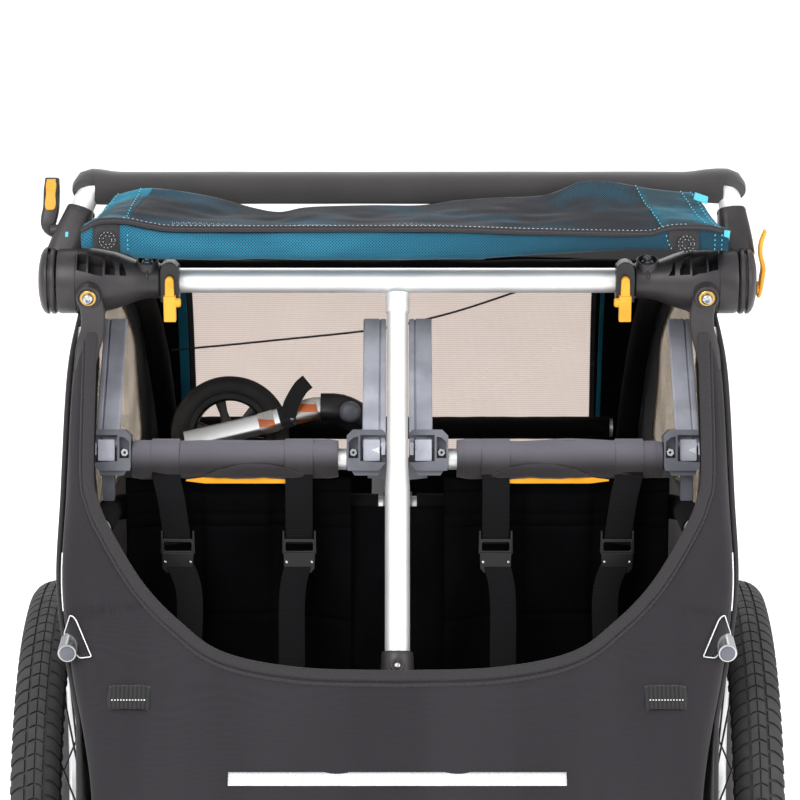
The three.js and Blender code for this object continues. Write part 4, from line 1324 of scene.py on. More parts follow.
def rear_cloth():
    """The rear: dark cloth round a pale ribbed sun screen, with a binding that crosses the screen."""
    def half(z):
        return narrowed(flat_half(z) - 1, rear_line_y(z))

    heights = [322 + (797 - 322) * i / 40 for i in range(41)]
    outline = [(half(z), z) for z in heights] + [(-half(z), z) for z in reversed(heights)]
    centre = (0, 640)
    window = [(-238, 500), (228, 500), (224, 772), (-238, 772)]
    window = [(p.x, p.y) for p in rounded([(a, b, 0) for a, b in [*window, *window[:2]]], 12, steps=4)][1:-1]
    count = 240
    hole = ray_outline(window, centre, count)
    frame_cloth = turned_towards(ring_sheet(hole, ray_outline(outline, centre, count), 16, rear_place,
                                            NAVY_CLOTH),
                                 (0, 1, 0))
    made = piece("rear_cloth", [frame_cloth], thickness=1.4, outward=False)
    screen = turned_towards(disc_sheet(hole, 26, rear_place, RIBBED_SCREEN, centre), (0, 1, 0))
    panel = piece("rear_screen", [screen], nodes=["rear_panel"], thickness=1.0,
                  outward=False)
    border = [rear_place(x, z) for x, z in hole]
    edge = sweep(border, rounded_box(7, 3, 1.3), BINDING, closed=True, up=(0, 1, 0))
    cross = [(-262, 655), (-150, 666), (-30, 680), (60, 702), (150, 738), (215, 762)]
    line = [rear_place(p.x, p.y) + Vector((0, -3, 0)) for p in spline([(x, z, 0) for x, z in cross], 60)]
    tie = sweep(line, rounded_box(1.6, 4.4, 0.7), BINDING, up=(0, 1, 0))
    piece("rear_bindings", [edge, tie])
    strips = [
        sweep([rear_place(x, z) + Vector((0, -2.4, 0)) for z in range(545, 776, 10)],
              rounded_box(width, 1.6, 0.7),
              TEAL_CLOTH, up=(0, -1, 0))
        for x, width in ((-247, 11), (234, 5))
    ]
    piece("rear_teal_strips", strips)


def roof_place(x, y):
    z = interpolate([(56, 857), (150, 849), (250, 829), (334, 799)], y)
    crown = 7 * (1 - (x / 310) ** 2) - 5 * smooth_step(0.95, 1, abs(x) / narrowed(318, y))
    return Vector((x, y, z + crown - 3 + wobble((x, y, 0), 90, 2.0, 5)))


def roof_cloth():
    def rule(u, v):
        y = 54 + 286 * u
        return roof_place((2 * v - 1) * narrowed(318, y), y)

    cloth = turned_towards(surface(rule, 50, 80, BLACK_CLOTH, flat=(300, 620)), (0, 0, 1))
    made = piece("roof_cloth", [cloth], nodes=["roof"], thickness=1.6, outward=False)
    sleeve = [Vector((x, 50, 853)) + Vector((0, 0, wobble((x, 0, 0), 60, 2))) for x in range(-300, 301, 12)]
    front = sweep(sleeve, rounded_box(13, 13, 6), BLACK_CLOTH, up=(0, 0, 1))
    piece("roof_front_hem", [front])
    reach = narrowed(316, 340)
    seam = [
        (roof_place(x, 340) + rear_place(x, 797)) / 2 for x in [reach * (i / 40 - 1) for i in range(81)]
    ]
    piece("roof_rear_hem", [sweep(seam, rounded_box(15, 8, 3.6), BLACK_CLOTH, up=(0, 0.6, 0.8))])


def floor_cloth():
    """The tub's floor, from the nose up to the rear cloth."""
    line = spline([(0, -436, 152), (0, -395, 140), (0, -350, 137), (0, 0, 136), (0, 350, 138), (0, 422, 160),
                   (0, 450, 240), (0, 454, 330)], 120)

    def rule(u, v):
        point = part_of(line, u)
        x = (2 * v - 1) * narrowed(flat_half(point.z) - 1, point.y)
        edge = 9 * max(0, abs(2 * v - 1) - 0.93) / 0.07
        return Vector((x, point.y, point.z + edge
                       + wobble((x, point.y, 0), 70, 2.0, 9) * smooth_step(0, 30, 285 - abs(x))))

    cloth = turned_towards(surface(rule, 120, 60, BLACK_CLOTH, flat=(1060, 560)), (0, 0, 1))
    made = piece("floor_cloth", [cloth], nodes=["floor_tub"], thickness=3, outward=False)


# ---------------------------------------------------------------- rolled cover

# Heights along X of the roll's top fold, of the seam at its front and of its underside.
ROLL_TOP = [
    (-324, 930), (-290, 938), (-262, 938), (-208, 930), (-161, 918), (-132, 914), (-101, 919), (-32, 921),
    (25, 921), (64, 926), (109, 929), (166, 932), (205, 945), (236, 946), (289, 938), (334, 934),
]
ROLL_SEAM = [
    (-324, 903), (-313, 909), (-299, 916), (-272, 916), (-247, 911), (-205, 908), (23, 908), (135, 905),
    (244, 903), (262, 905), (277, 909), (312, 909), (334, 903),
]
ROLL_FOOT = [
    (-324, 889), (-306, 888), (-270, 880), (-240, 876), (60, 876), (95, 878), (192, 885), (248, 889),
    (272, 887), (334, 886),
]
ROLL_ENDS = (-318, 333)
ROLL_TURNS = 4.6


def eased(table):
    """A table of (place, height) pairs with its corners smoothed."""
    return [(p.x, p.y) for p in spline([(a, b, 0) for a, b in table], 160)]


ROLL_TOP, ROLL_SEAM, ROLL_FOOT = eased(ROLL_TOP), eased(ROLL_SEAM), eased(ROLL_FOOT)


def lap_place(x, t):
    """On the cover's outer lap, from its front seam at t = 0 to its top fold at t = 1."""
    seam, top = interpolate(ROLL_SEAM, x), interpolate(ROLL_TOP, x)
    slack = wobble((x * 0.45, t * 52, 0), 26, 5.0, 2) + wobble((x * 0.3, t * 90, 0), 12, 1.8, 8)
    y = -15 + 49 * t
    z = seam + (top - seam) * t ** 1.2 + slack * math.sin(math.pi * min(t, 1))
    return Vector((x * (1 - 0.095 * t), y, z))


def lap_path(x):
    """The outer lap's run, from the seam over the top fold and down behind the roll."""
    fold = lap_place(x, 1)
    behind = [fold + Vector((0, 5, -1)), fold + Vector((0, 8, -10)), Vector((fold.x, 41, 896)),
              Vector((fold.x, 36, 884))]
    return evenly([*[lap_place(x, i / 30) for i in range(31)], *behind], 60)


def roll_path(x):
    """The wound part of the cover, from the seam inwards."""
    seam, foot = interpolate(ROLL_SEAM, x), interpolate(ROLL_FOOT, x)
    centre = Vector((x, 4, (seam + foot) / 2 - 0.5))
    depth, height = 27.0, (seam - foot) / 2 + 0.5
    steps = int(44 * ROLL_TURNS)
    path = []
    for i in range(steps + 1):
        turn = i / steps * ROLL_TURNS
        angle = math.radians(132) + 2 * math.pi * turn
        tight = 1 - 0.16 * turn
        across = math.copysign(abs(math.cos(angle)) ** 0.78, math.cos(angle))
        upward = math.copysign(abs(math.sin(angle)) ** 0.78, math.sin(angle))
        loose = wobble((x * 0.6, math.cos(angle) * 20, math.sin(angle) * 20), 34, 2.2, 4) if turn < 1 else 0
        path.append(centre
                    + Vector((0, across * (depth * tight + loose), upward * (height * tight + 0.5 * loose))))
    return evenly(path, int(46 * ROLL_TURNS))


def cover_patch(start, end, path_at, finish):
    """A part of the cover between two places along X."""
    count = max(4, int((end - start) / 4))
    rows = [path_at(start + (end - start) * i / (count - 1)) for i in range(count)]
    columns = len(rows[0])
    along = lengths_along(rows[0])
    uv = [(point.x * MM, run * MM) for row in rows for point, run in zip(row, along)]
    points = [point for row in rows for point in row]
    return turned_over(Shape(points, grid_faces(count, columns), finish, uv))


def turned_over(shape):
    shape.faces = [tuple(reversed(face)) for face in shape.faces]
    return shape


def rolled_cover():
    left, right = ROLL_ENDS
    lap = [(left, -275, MESH_OVER_TEAL), (-275, 268, BLACK_MESH), (268, right, MESH_OVER_TEAL)]
    wound = [
        (left, -306, TEAL_MESH), (-306, -279, BLACK_NET), (-279, 272, TEAL_MESH), (272, 303, BLACK_NET),
        (303, right, TEAL_MESH),
    ]
    patches = [cover_patch(a, b, lap_path, finish) for a, b, finish in lap]
    patches += [cover_patch(a, b, roll_path, finish) for a, b, finish in wound]
    cover = piece("rolled_cover", patches, nodes=["cover_roll"], thickness=1.2,
                  outward=False)


def cover_seams():
    left, right = ROLL_ENDS
    spots = [left + (right - left) * i / 140 for i in range(141)]
    seam = [Vector((x, -16.5, interpolate(ROLL_SEAM, x))) for x in spots]
    cord = piping(seam, 1.9, BINDING)
    tape = sweep([p + Vector((0, 2, 1.6)) for p in seam], rounded_box(1.4, 5, 0.6), BINDING, up=(0, 0.6, 0.8))
    piece("cover_seam_piping", [cord, tape])

    def on_lap(x_seam, x_top, start=0.02, end=1.0, steps=24):
        shares = [start + (end - start) * i / steps for i in range(steps + 1)]
        runs = [(x_seam + (x_top / 0.905 - x_seam) * t, t) for t in shares]
        return [lap_place(x, t) + Vector((0, -0.5, 1.0)) for x, t in runs]

    lines = [on_lap(-275, -261), on_lap(-315, -284), on_lap(269, 242), on_lap(314, 288), on_lap(325, 298)]
    down = [
        [Vector((x, -24, 906)), Vector((x, -25.5, 897)), Vector((x, -23, 889))] for x in (-271, 319, 326)
    ]
    slant = [Vector((270, -23, 905)), Vector((272, -25.5, 897)), Vector((276, -23, 890))]
    bright = [stitches(line, THREAD_BLUE, 3.2, 0.6, 0.85) for line in [*lines, *down, slant]]
    pale = stitches([p + Vector((0, 2.4, 4.2)) for p in seam[9:-9]], THREAD_PALE, 3.0, 1.5, 0.42)
    zigzag = [
        lap_place(x, 0.12 if i % 2 else 0.21) + Vector((0, -0.4, 1.2))
        for i, x in enumerate(range(-232, 60, 3))
    ]
    tack = stitches(evenly(zigzag, 400), THREAD_PALE, 1.6, 1.4, 0.3)
    piece("cover_stitching", [*bright, pale, tack])


def cover_tabs():
    """Eyelets in the cover's ends and the small turquoise tabs on its hem."""
    rings = []
    for x, z, tilt in ((-291, 901, 0.12), (290, 897, 0.12)):
        face = plane((x, -28.2, z), (1, 0, 0), (0, tilt, 1))
        rings.append(turned([(-1.5, 4), (0.2, 4), (1, 5), (1.2, 7), (0.8, 8.4), (-1.5, 9)],
                            face(0, 0), facing(face), DARK_NET, 36, closed=True))
        for radius in (4.6, 8):
            loop = [face(a, b, 1.4) for a, b in circle(radius, 24)]
            rings.append(stitches([*loop, loop[0]], THREAD_PALE, 1.8, 1.6, 0.32))
        rings.append(turned([(-1.6, 0), (-1.6, 4.2), (-0.8, 4.2), (-0.8, 0)],
                            face(0, 0), facing(face), BLACK_NET, 24))
    piece("cover_eyelets", rings, sharp=60)
    places = [
        (Vector((308, 20, 932)), (1, 0.2, -0.4), 15, 8), (Vector((331, -20, 902)), (0.1, 0, 1), 13, 6),
        (Vector((-333, -14, 903)), (0.1, 0, 1), 5, 3),
    ]
    tabs = []
    for centre, run, length, width in places:
        reach = Vector(run).normalized() * length / 2
        tabs.append(sweep([centre - reach, centre, centre + reach], rounded_box(width, 1.8, 0.7), THREAD_BLUE,
                          up=(0, -0.8, 0.6)))
    piece("cover_tabs", tabs, bevel=0.4)


# ---------------------------------------------------------------- seats

RAIL_LOW, RAIL_HIGH = Vector((0, -17, 674)), Vector((0, 122, 768.1))
RAIL_X = {"outer": 298, "inner": 24}
RAIL_RUN = (RAIL_HIGH - RAIL_LOW).normalized()
RAIL_UP = Vector((0, -RAIL_RUN.z, RAIL_RUN.y))
CLAMP_X = {"outer": 293, "inner": 32}
CLAMP_AT = Vector((0, -16, 674.6))
TOWARDS_EYE = (0, -0.954, 0.3)
SLEEVE_RADIUS = 18.4
SLEEVE_ENDS = (61, 272)


def rail(x, groove):
    """A seat rail: a channelled beam with a grooved front flange. groove is -1 or 1, the groove's side."""
    section = [
        (-12, 6), (-12, 9.5), (-10.5, 11), (4.4, 11), (5, 10.4), (5, 8.8), (6.4, 8.8), (6.4, 9.8), (7, 10.4),
        (10.5, 10.4), (12, 9.5), (12, 6), (5.5, 5), (5.5, -7), (9, -8), (9, -11.5), (-9, -11.5), (-9, -8),
        (-5.5, -7), (-5.5, 5),
    ]
    section = [(a * groove, b) for a, b in section]
    ends = [Vector((x, 0, 0)) + RAIL_LOW, Vector((x, 0, 0)) + RAIL_HIGH]
    return sweep(evenly(ends, 4), section, RAIL_PLATE, up=RAIL_UP)


def seat_rails():
    for label, side in SIDES.items():
        beam = rail(RAIL_X["outer"], 1)
        leg = plate(rounded_box(12.5, 50, 2), -8, 8,
                    plane((RAIL_X["outer"], -14, 646), (1, 0, 0), (0, 0, 1)), GREY_PLASTIC)
        piece(f"seat_rail_beam_{label}", on_side(side, [beam, leg]), nodes=[f"seat_rail_{label}"],
              bevel=0.7)
    pair = [rail(side * RAIL_X["inner"], -side) for side in (-1, 1)]
    front = plane((0, 11, 640), (1, 0, 0), (0, 0, 1))
    yoke = plate([
        (-31, 15), (-31, 36), (-18, 36), (-18, 15), (18, 15), (18, 36), (31, 36), (31, 15), (31, -3),
        (12, -5),
        (12, -26), (-12, -26), (-12, -5), (-31, -3),
    ], -7, 7, front, GREY_PLASTIC)
    saddle = turned([(-15, 11.5), (-15, 15), (15, 15), (15, 11.5)], (0, 5, 606), (1, 0, 0), GREY_PLASTIC,
                    40, closed=True)
    piece("seat_rail_yoke", [*pair, yoke, saddle], nodes=["seat_rail_centre"], bevel=0.7)
    path = rounded([(-302, -76, 610), (-298, 5, 606), (298, 5, 606), (302, -76, 610)], 26)
    piece("seat_cross_tube", [tube(path, size("seat_tube").z / 2 - 2, ALUMINIUM)], nodes=["seat_tube"])


def clamp(label, side, where):
    """A sliding clamp. Its far window shows the rail and its near window shows the bar's nut."""
    away = side if where == "outer" else -side
    centre = Vector((side * CLAMP_X[where], 0, 0)) + CLAMP_AT
    face = plane(centre, (away, 0, 0), (0, 0.3, 0.954))
    depth = 1 if away > 0 else -1
    outline = [(-19, -21), (13, -21), (20, -13), (20, 17), (16, 21), (-14, 21), (-20, 15), (-20, -16)]
    shell = plate(outline, -15, 15, face, GREY_PLASTIC)
    lip = plate([(-12, -26), (12, -26), (14, -20), (-16, -20)], -9, 9, face, GREY_PLASTIC)
    body = piece(f"clamp_{where}_{label}", [shell], body=f"seat_{label}",
                 nodes=[f"seat_clamp_{label}_{where}"])
    near, far = 3.5, 22
    low, high = (near, far) if depth > 0 else (-far, -near)
    carve(body, [
        plate([(-6, -11), (21, -12.5), (21, 15.5), (-6, 15.5)], low, high, face, BLACK_PLASTIC),
        plate([(-18, -8), (-8.2, -8), (-8.2, 14), (-13, 13), (-18, 8.5)], low, high, face, BLACK_PLASTIC),
    ])
    round_edges(body, 0.8)
    front = depth * 9
    rail_plate = plate(rounded_box(17, 22, 1), front - 3, front,
                       plane(face(5.4, 0), (away, 0, 0), (0, 0.3, 0.954)), RAIL_PLATE)
    strip = plate(rounded_box(4, 13, 0.6), front - 3, front,
                  plane(face(17.6, 1.5), (away, 0, 0), (0, 0.3, 0.954)), RAIL_PLATE)
    pointer = plate([(13.6, -3.6), (13.6, 3.6), (5, 0)], front - 0.2, front + 0.8, face, REFLECTIVE)
    out = face(0, 0, depth) - face(0, 0)
    nut = turned([(4, 0), (4, 4.6), (9.4, 4.6), (10, 4), (10, 1.5), (7.5, 1.4), (7.5, 0)],
                 face(-13.2, -2.4), out, STEEL, 6)
    bush = turned([(7.6, 0), (7.6, 1.3), (8, 1.3), (8, 0)], face(-13.2, -2.4), out, BUCKLE_PLASTIC, 12)
    piece(f"clamp_fittings_{where}_{label}", [rail_plate, strip, pointer, nut, bush, lip],
          body=f"seat_{label}",
          bevel=0.6)


def on_sleeve(side, x, angle, proud=0.0):
    """On a seat's sleeve. The angle is above straight ahead, in degrees."""
    turn = math.radians(angle)
    radius = SLEEVE_RADIUS + proud
    return Vector((side * x, SEAT_BAR.y - radius * math.cos(turn), SEAT_BAR.z + radius * math.sin(turn)))


def seat_sleeve(label, side):
    start, end = SLEEVE_ENDS

    def rule(u, v):
        x = start + (end - start) * u
        angle = 90 + 360 * v
        tight = smooth_step(0, 0.05, u) * smooth_step(1, 0.95, u)
        folds = wobble((side * x * 0.9, angle / 3.2, 0), 15, 2.4, 11) * math.exp(-((angle - 330) / 70) ** 2)
        long_folds = wobble((side * x * 0.35, angle / 4, 0), 20, 2.0, 17)
        return on_sleeve(side, x, -angle + 180, -1.3 * (1 - tight) + folds + long_folds)

    cloth = surface(rule, 110, 72, SEAT_CLOTH, flat=(202, 116))
    if side > 0:
        turned_over(cloth)
    made = piece(f"bar_sleeve_{label}", [cloth], body=f"seat_{label}", nodes=[f"seat_sleeve_{label}"],
                 thickness=1.6, outward=False)

    def flap(u, v):
        x = 92 + 107 * u
        low, high = -47, -47 + 52 * math.sin(math.pi * u) ** 0.55
        angle = low + (high - low) * v
        puff = 2.6 * math.sin(math.pi * u) * math.sin(math.pi * v) + wobble((x, angle, 0), 16, 1.6, 21)
        return on_sleeve(side, x, angle, 2.4 + puff)

    panel = surface(flap, 60, 26, SEAT_CLOTH, flat=(107, 20))
    if side < 0:
        turned_over(panel)
    seam = [flap(i / 40, 1) + Vector((0, -0.8, 0.4)) for i in range(41)]
    pocket = piece(f"sleeve_flap_{label}", [panel], body=f"seat_{label}", thickness=1.6,
                   outward=False)
    strip = [on_sleeve(side, 217 - 129 * i / 40, -47, 5.4) for i in range(41)]
    sizes = [interpolate([(0, 0.25), (6, 1), (37, 1), (40, 0.8)], i) for i in range(41)]
    trim = sweep(strip, rounded_box(6.6, 2.6, 1.2), YELLOW_CLOTH, scale=sizes, up=TOWARDS_EYE)
    ends = [
        stitches([on_sleeve(side, x, angle, 1.2) for angle in range(-50, 100, 6)], THREAD_DARK, 2.6, 1.6, 0.4)
        for x in (start + 7, 226, end - 7)
    ]
    piece(f"sleeve_trim_{label}", [trim, stitches(seam, THREAD_DARK, 2.6, 1.4, 0.4), *ends],
          body=f"seat_{label}")


def sling_place(side, x, share, proud=0.0):
    """On a seat's back cloth, from the bar at share 0 to the bench at share 1."""
    top, foot = Vector((0, SEAT_BAR.y, SEAT_BAR.z - 20)), Vector((0, -62, 346))
    centre = (SLEEVE_ENDS[0] + SLEEVE_ENDS[1]) / 2
    across = (x - centre) / 110
    sag = 26 * math.sin(math.pi * share) * max(0, 1 - across ** 2)
    place = top.lerp(foot, share)
    return Vector((side * x, place.y + sag - proud, place.z))


def seat_sling(label, side):
    """The seat's back, with a sewn panel between the shoulder straps."""
    low, high = 48, 280

    def rule(u, v):
        x, share = low + (high - low) * v, u
        puff = 5 * smooth_step(128, 138, x) * smooth_step(204, 194, x)
        seams = sum(math.exp(-((share - at) / 0.008) ** 2) for at in (0.05, 0.13, 0.175, 0.5))
        folds = wobble((x, share * 120, 0), 28, 5.0, 31 + side) * smooth_step(150, 260, abs(x - 164) + 90)
        return sling_place(side, x, share, puff - 2.2 * seams + folds)

    cloth = surface(rule, 120, 90, SEAT_CLOTH_SHADED, flat=(305, 232))
    if side < 0:
        turned_over(cloth)
    made = piece(f"seat_back_cloth_{label}", [cloth], body=None, nodes=[f"seat_back_{label}"],
                 thickness=3, outward=False)
    bend_with_seat(made)


def bend_with_seat(made):
    """Bakes a piece's placement into its mesh."""
    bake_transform(made)


def harness(label, side):
    """Two shoulder straps over the bar, each with a ladder-lock buckle and a lower strap to the bench."""
    for index, (x_top, x_buckle, x_low) in enumerate(((101, 101, 108), (238, 226, 214))):
        over = [on_sleeve(side, x_top, angle, 2.0) for angle in range(150, -42, -12)]
        hang = spline([
            over[-1], Vector((side * (x_top + x_buckle) / 2, -41, 630)), Vector((side * x_buckle, -43, 582)),
        ], 20)
        bands = [strap(over, 29, SEAT_CLOTH), strap([over[-2], *hang], 28, HARNESS_WEBBING_SHADED)]
        upper = piece(f"shoulder_strap_{index}_{label}", bands, body=None, bevel=0.4)
        bend_with_seat(upper)
        low_path = spline([
            (side * x_buckle, -46, 566), (side * x_low, -62, 534), (side * x_low, -96, 476),
            (side * x_low, -124, 420), (side * x_low, -142, 352), (side * x_low, -138, 342),
        ], 40)
        lower = piece(f"lower_strap_{index}_{label}", [strap(low_path, 27, HARNESS_WEBBING_SHADED)], body=None,
                      bevel=0.4)
        bend_with_seat(lower)
        buckle(f"{index}_{label}", Vector((side * x_buckle, -45.5, 572)))


def strap(path, width, finish):
    ups = []
    for i in range(len(path)):
        run = (path[min(i + 1, len(path) - 1)] - path[max(i - 1, 0)]).normalized()
        ups.append(Vector((1, 0, 0)).cross(run).normalized())
    return sweep(path, rounded_box(width, 1.7, 0.7, steps=2), finish, up=ups)


def buckle(name, centre):
    face = plane(centre, (1, 0, 0), (0, 0.08, 1))
    frame_ring = open_plate(
        rounded_box(33, 17, 3, steps=3), rounded_box(28, 9, 1.5, steps=3), -2.5, 2.5,
        plane(face(0, 8), (1, 0, 0), (0, 0.08, 1)),
        BUCKLE_PLASTIC,
    )
    block = plate([(-16, -15), (-12, -20), (12, -20), (16, -15), (16.5, 2), (-16.5, 2)], -3.6, 3.6, face,
                  BUCKLE_PLASTIC)
    arms = [
        plate([(x - 1.6, 0), (x + 1.6, 0), (x + 1.1, 25), (x - 1.1, 25)], -2.2, 2.2, face, BUCKLE_PLASTIC)
        for x in (-16.2, 16.2)
    ]
    studs = [turned([(2.8, 0), (2.8, 2.2), (4.6, 1.6), (4.8, 0)], face(x, -8), facing(face), STEEL, 16)
             for x in (-13, 13)]
    made = piece(f"buckle_{name}", [frame_ring, block, *arms, *studs], body=None,
                 bevel=0.7)
    bend_with_seat(made)


def seat_bar(label):
    low, high = box_of(f"seat_bar_{label}")
    radius = (high.z - low.z) / 2
    path = evenly([Vector((low.x, SEAT_BAR.y, SEAT_BAR.z)), Vector((high.x, SEAT_BAR.y, SEAT_BAR.z))], 6)
    piece(f"seat_bar_tube_{label}", [tube(path, radius, ALUMINIUM, sides=36)], body=f"seat_{label}",
          nodes=[f"seat_bar_{label}"])


def inflate(made, span, pressure):
    """Puffs a closed cushion with a short cloth simulation, holding its displacement under a cap."""
    bpy.context.view_layer.objects.active = made
    remesh = made.modifiers.new("even_mesh", "REMESH")
    remesh.mode = "VOXEL"
    remesh.voxel_size = 5 * MM
    mesh = bpy.data.meshes.new_from_object(made.evaluated_get(bpy.context.evaluated_depsgraph_get()))
    made.modifiers.clear()
    for finish in made.data.materials:
        if finish.name not in mesh.materials:
            mesh.materials.append(finish)
    made.data = mesh
    start = [v.co.copy() for v in mesh.vertices]
    cloth = made.modifiers.new("puff", "CLOTH")
    cloth.settings.use_pressure = True
    cloth.settings.uniform_pressure_force = pressure
    cloth.settings.quality = 6
    cloth.settings.effector_weights.gravity = 0
    cloth.point_cache.frame_start, cloth.point_cache.frame_end = 1, 20
    scene = bpy.context.scene
    for number in range(1, 21):
        scene.frame_set(number)
    puffed = bpy.data.meshes.new_from_object(made.evaluated_get(bpy.context.evaluated_depsgraph_get()))
    made.modifiers.clear()
    cap = span * MM
    for vertex, moved, was in zip(mesh.vertices, puffed.vertices, start):
        step = moved.co - was
        vertex.co = was + step * min(1, cap / max(step.length, 1e-9))
    scene.frame_set(1)
    mesh.shade_smooth()


def bench():
    """The bench cushion, with two places to sit on, puffed up by a short cloth simulation."""
    outline = [(-298, 330), (-292, 322), (-80, 314), (-76, 318), (-76, 328), (-288, 339), (-296, 337)]
    cushion = plate(outline, -252, 252, plane((0, 0, 0), (0, 1, 0), (0, 0, 1)), SEAT_CLOTH)
    made = piece("seat_bench_cushion", [cushion], nodes=["seat_bench"], bevel=2)
    made.modifiers.clear()
    inflate(made, 9, 3.5)


# ---------------------------------------------------------------- hems inside the cabin

def cabin_hems():
    rear = middle("rear_crossbar")
    for label, side in SIDES.items():
        path = rounded([(side * 20, 5, 606), (side * 298, 5, 606), (side * 302, -74, 610)], 26)
        piece(f"seat_tube_hem_{label}", [tube_sleeve(evenly(path, 60), 12.8)])
    path = [Vector((-246 + 492 * i / 60, rear.y, rear.z)) for i in range(61)]
    piece("rear_crossbar_hem", [tube_sleeve(path, 13)])

    def rule(u, v):
        x = 62 * (2 * v - 1)
        return Vector((x, -13 - 50 * u, 612 - 262 * u)) + Vector((0, wobble((x, 0, 200 * u), 40, 5, 13), 0))

    cloth = surface(rule, 50, 24, SEAT_CLOTH_SHADED, flat=(266, 124))
    made = piece("centre_back_cloth", [turned_towards(cloth, (0, -1, 0))], thickness=2,
                 outward=False)


# ---------------------------------------------------------------- wheels

TREAD_PITCHES = 104
TREAD_HEIGHT = 2.6
HALF_TYRE = [(0, 247.2), (6, 246.9), (12, 245.4), (17, 243), (21, 239.4), (23.4, 235), (24.6, 229.5),
             (24, 223), (21, 216), (16, 210), (10, 206.6)]
SPOKES = 20


def tyre_place(side, shoulder, angle, proud):
    """On the tyre. shoulder runs from -1 to 1 across it, and angle is in radians."""
    line = TYRE_LINE
    here, ahead = part_of(line, abs(shoulder)), part_of(line, min(abs(shoulder) + 0.02, 1))
    run = (ahead - here).normalized() if ahead != here else Vector((0, -1, 0))
    out = Vector((-run.y, run.x, 0))
    across = math.copysign(here.x + out.x * proud, shoulder)
    radius = here.y + out.y * proud
    return Vector((side * WHEEL.x + across, WHEEL.y + radius * math.cos(angle), WHEEL.z
                   + radius * math.sin(angle)))


TYRE_LINE = evenly(spline([(x, r, 0) for x, r in HALF_TYRE], 60), 60)


def tread(side):
    """Every block of the tread: a pair at the centre, a pair of shoulders and a pair of side lugs."""
    pitch = 2 * math.pi / TREAD_PITCHES
    rows = [
        (0.01, 0.115, 0.86, lambda s: 0.22 * (s / 0.115) ** 2, TREAD_HEIGHT),
        (0.16, 0.40, 0.80, lambda s: 0.30 + 0.5 * ((s - 0.16) / 0.24) ** 2, TREAD_HEIGHT),
        (0.43, 0.53, 0.42, lambda s: 0.95 + 2.0 * (s - 0.43), TREAD_HEIGHT * 0.7),
    ]
    steps = 3
    points, faces = [], []
    for number in range(TREAD_PITCHES):
        for low, high, fill, bend, height in rows:
            for way in (-1, 1):
                base = len(points)
                stagger = 0.5 if way > 0 and low > 0.1 else 0.0
                for i in range(steps + 1):
                    s = low + (high - low) * i / steps
                    start = (number + bend(s) + stagger) * pitch
                    end = start + fill * pitch
                    for angle, proud in ((start, -1), (end, -1), (end, height), (start, height)):
                        points.append(tyre_place(side, way * s, angle, proud))
                block_faces = grid_faces(steps + 1, 4, close_columns=True)
                faces += [tuple(base + i for i in face) for face in block_faces]
                faces += [tuple(base + i for i in range(4)), tuple(base + 4 * steps + i for i in range(4))]
    return Shape(points, faces, RUBBER)


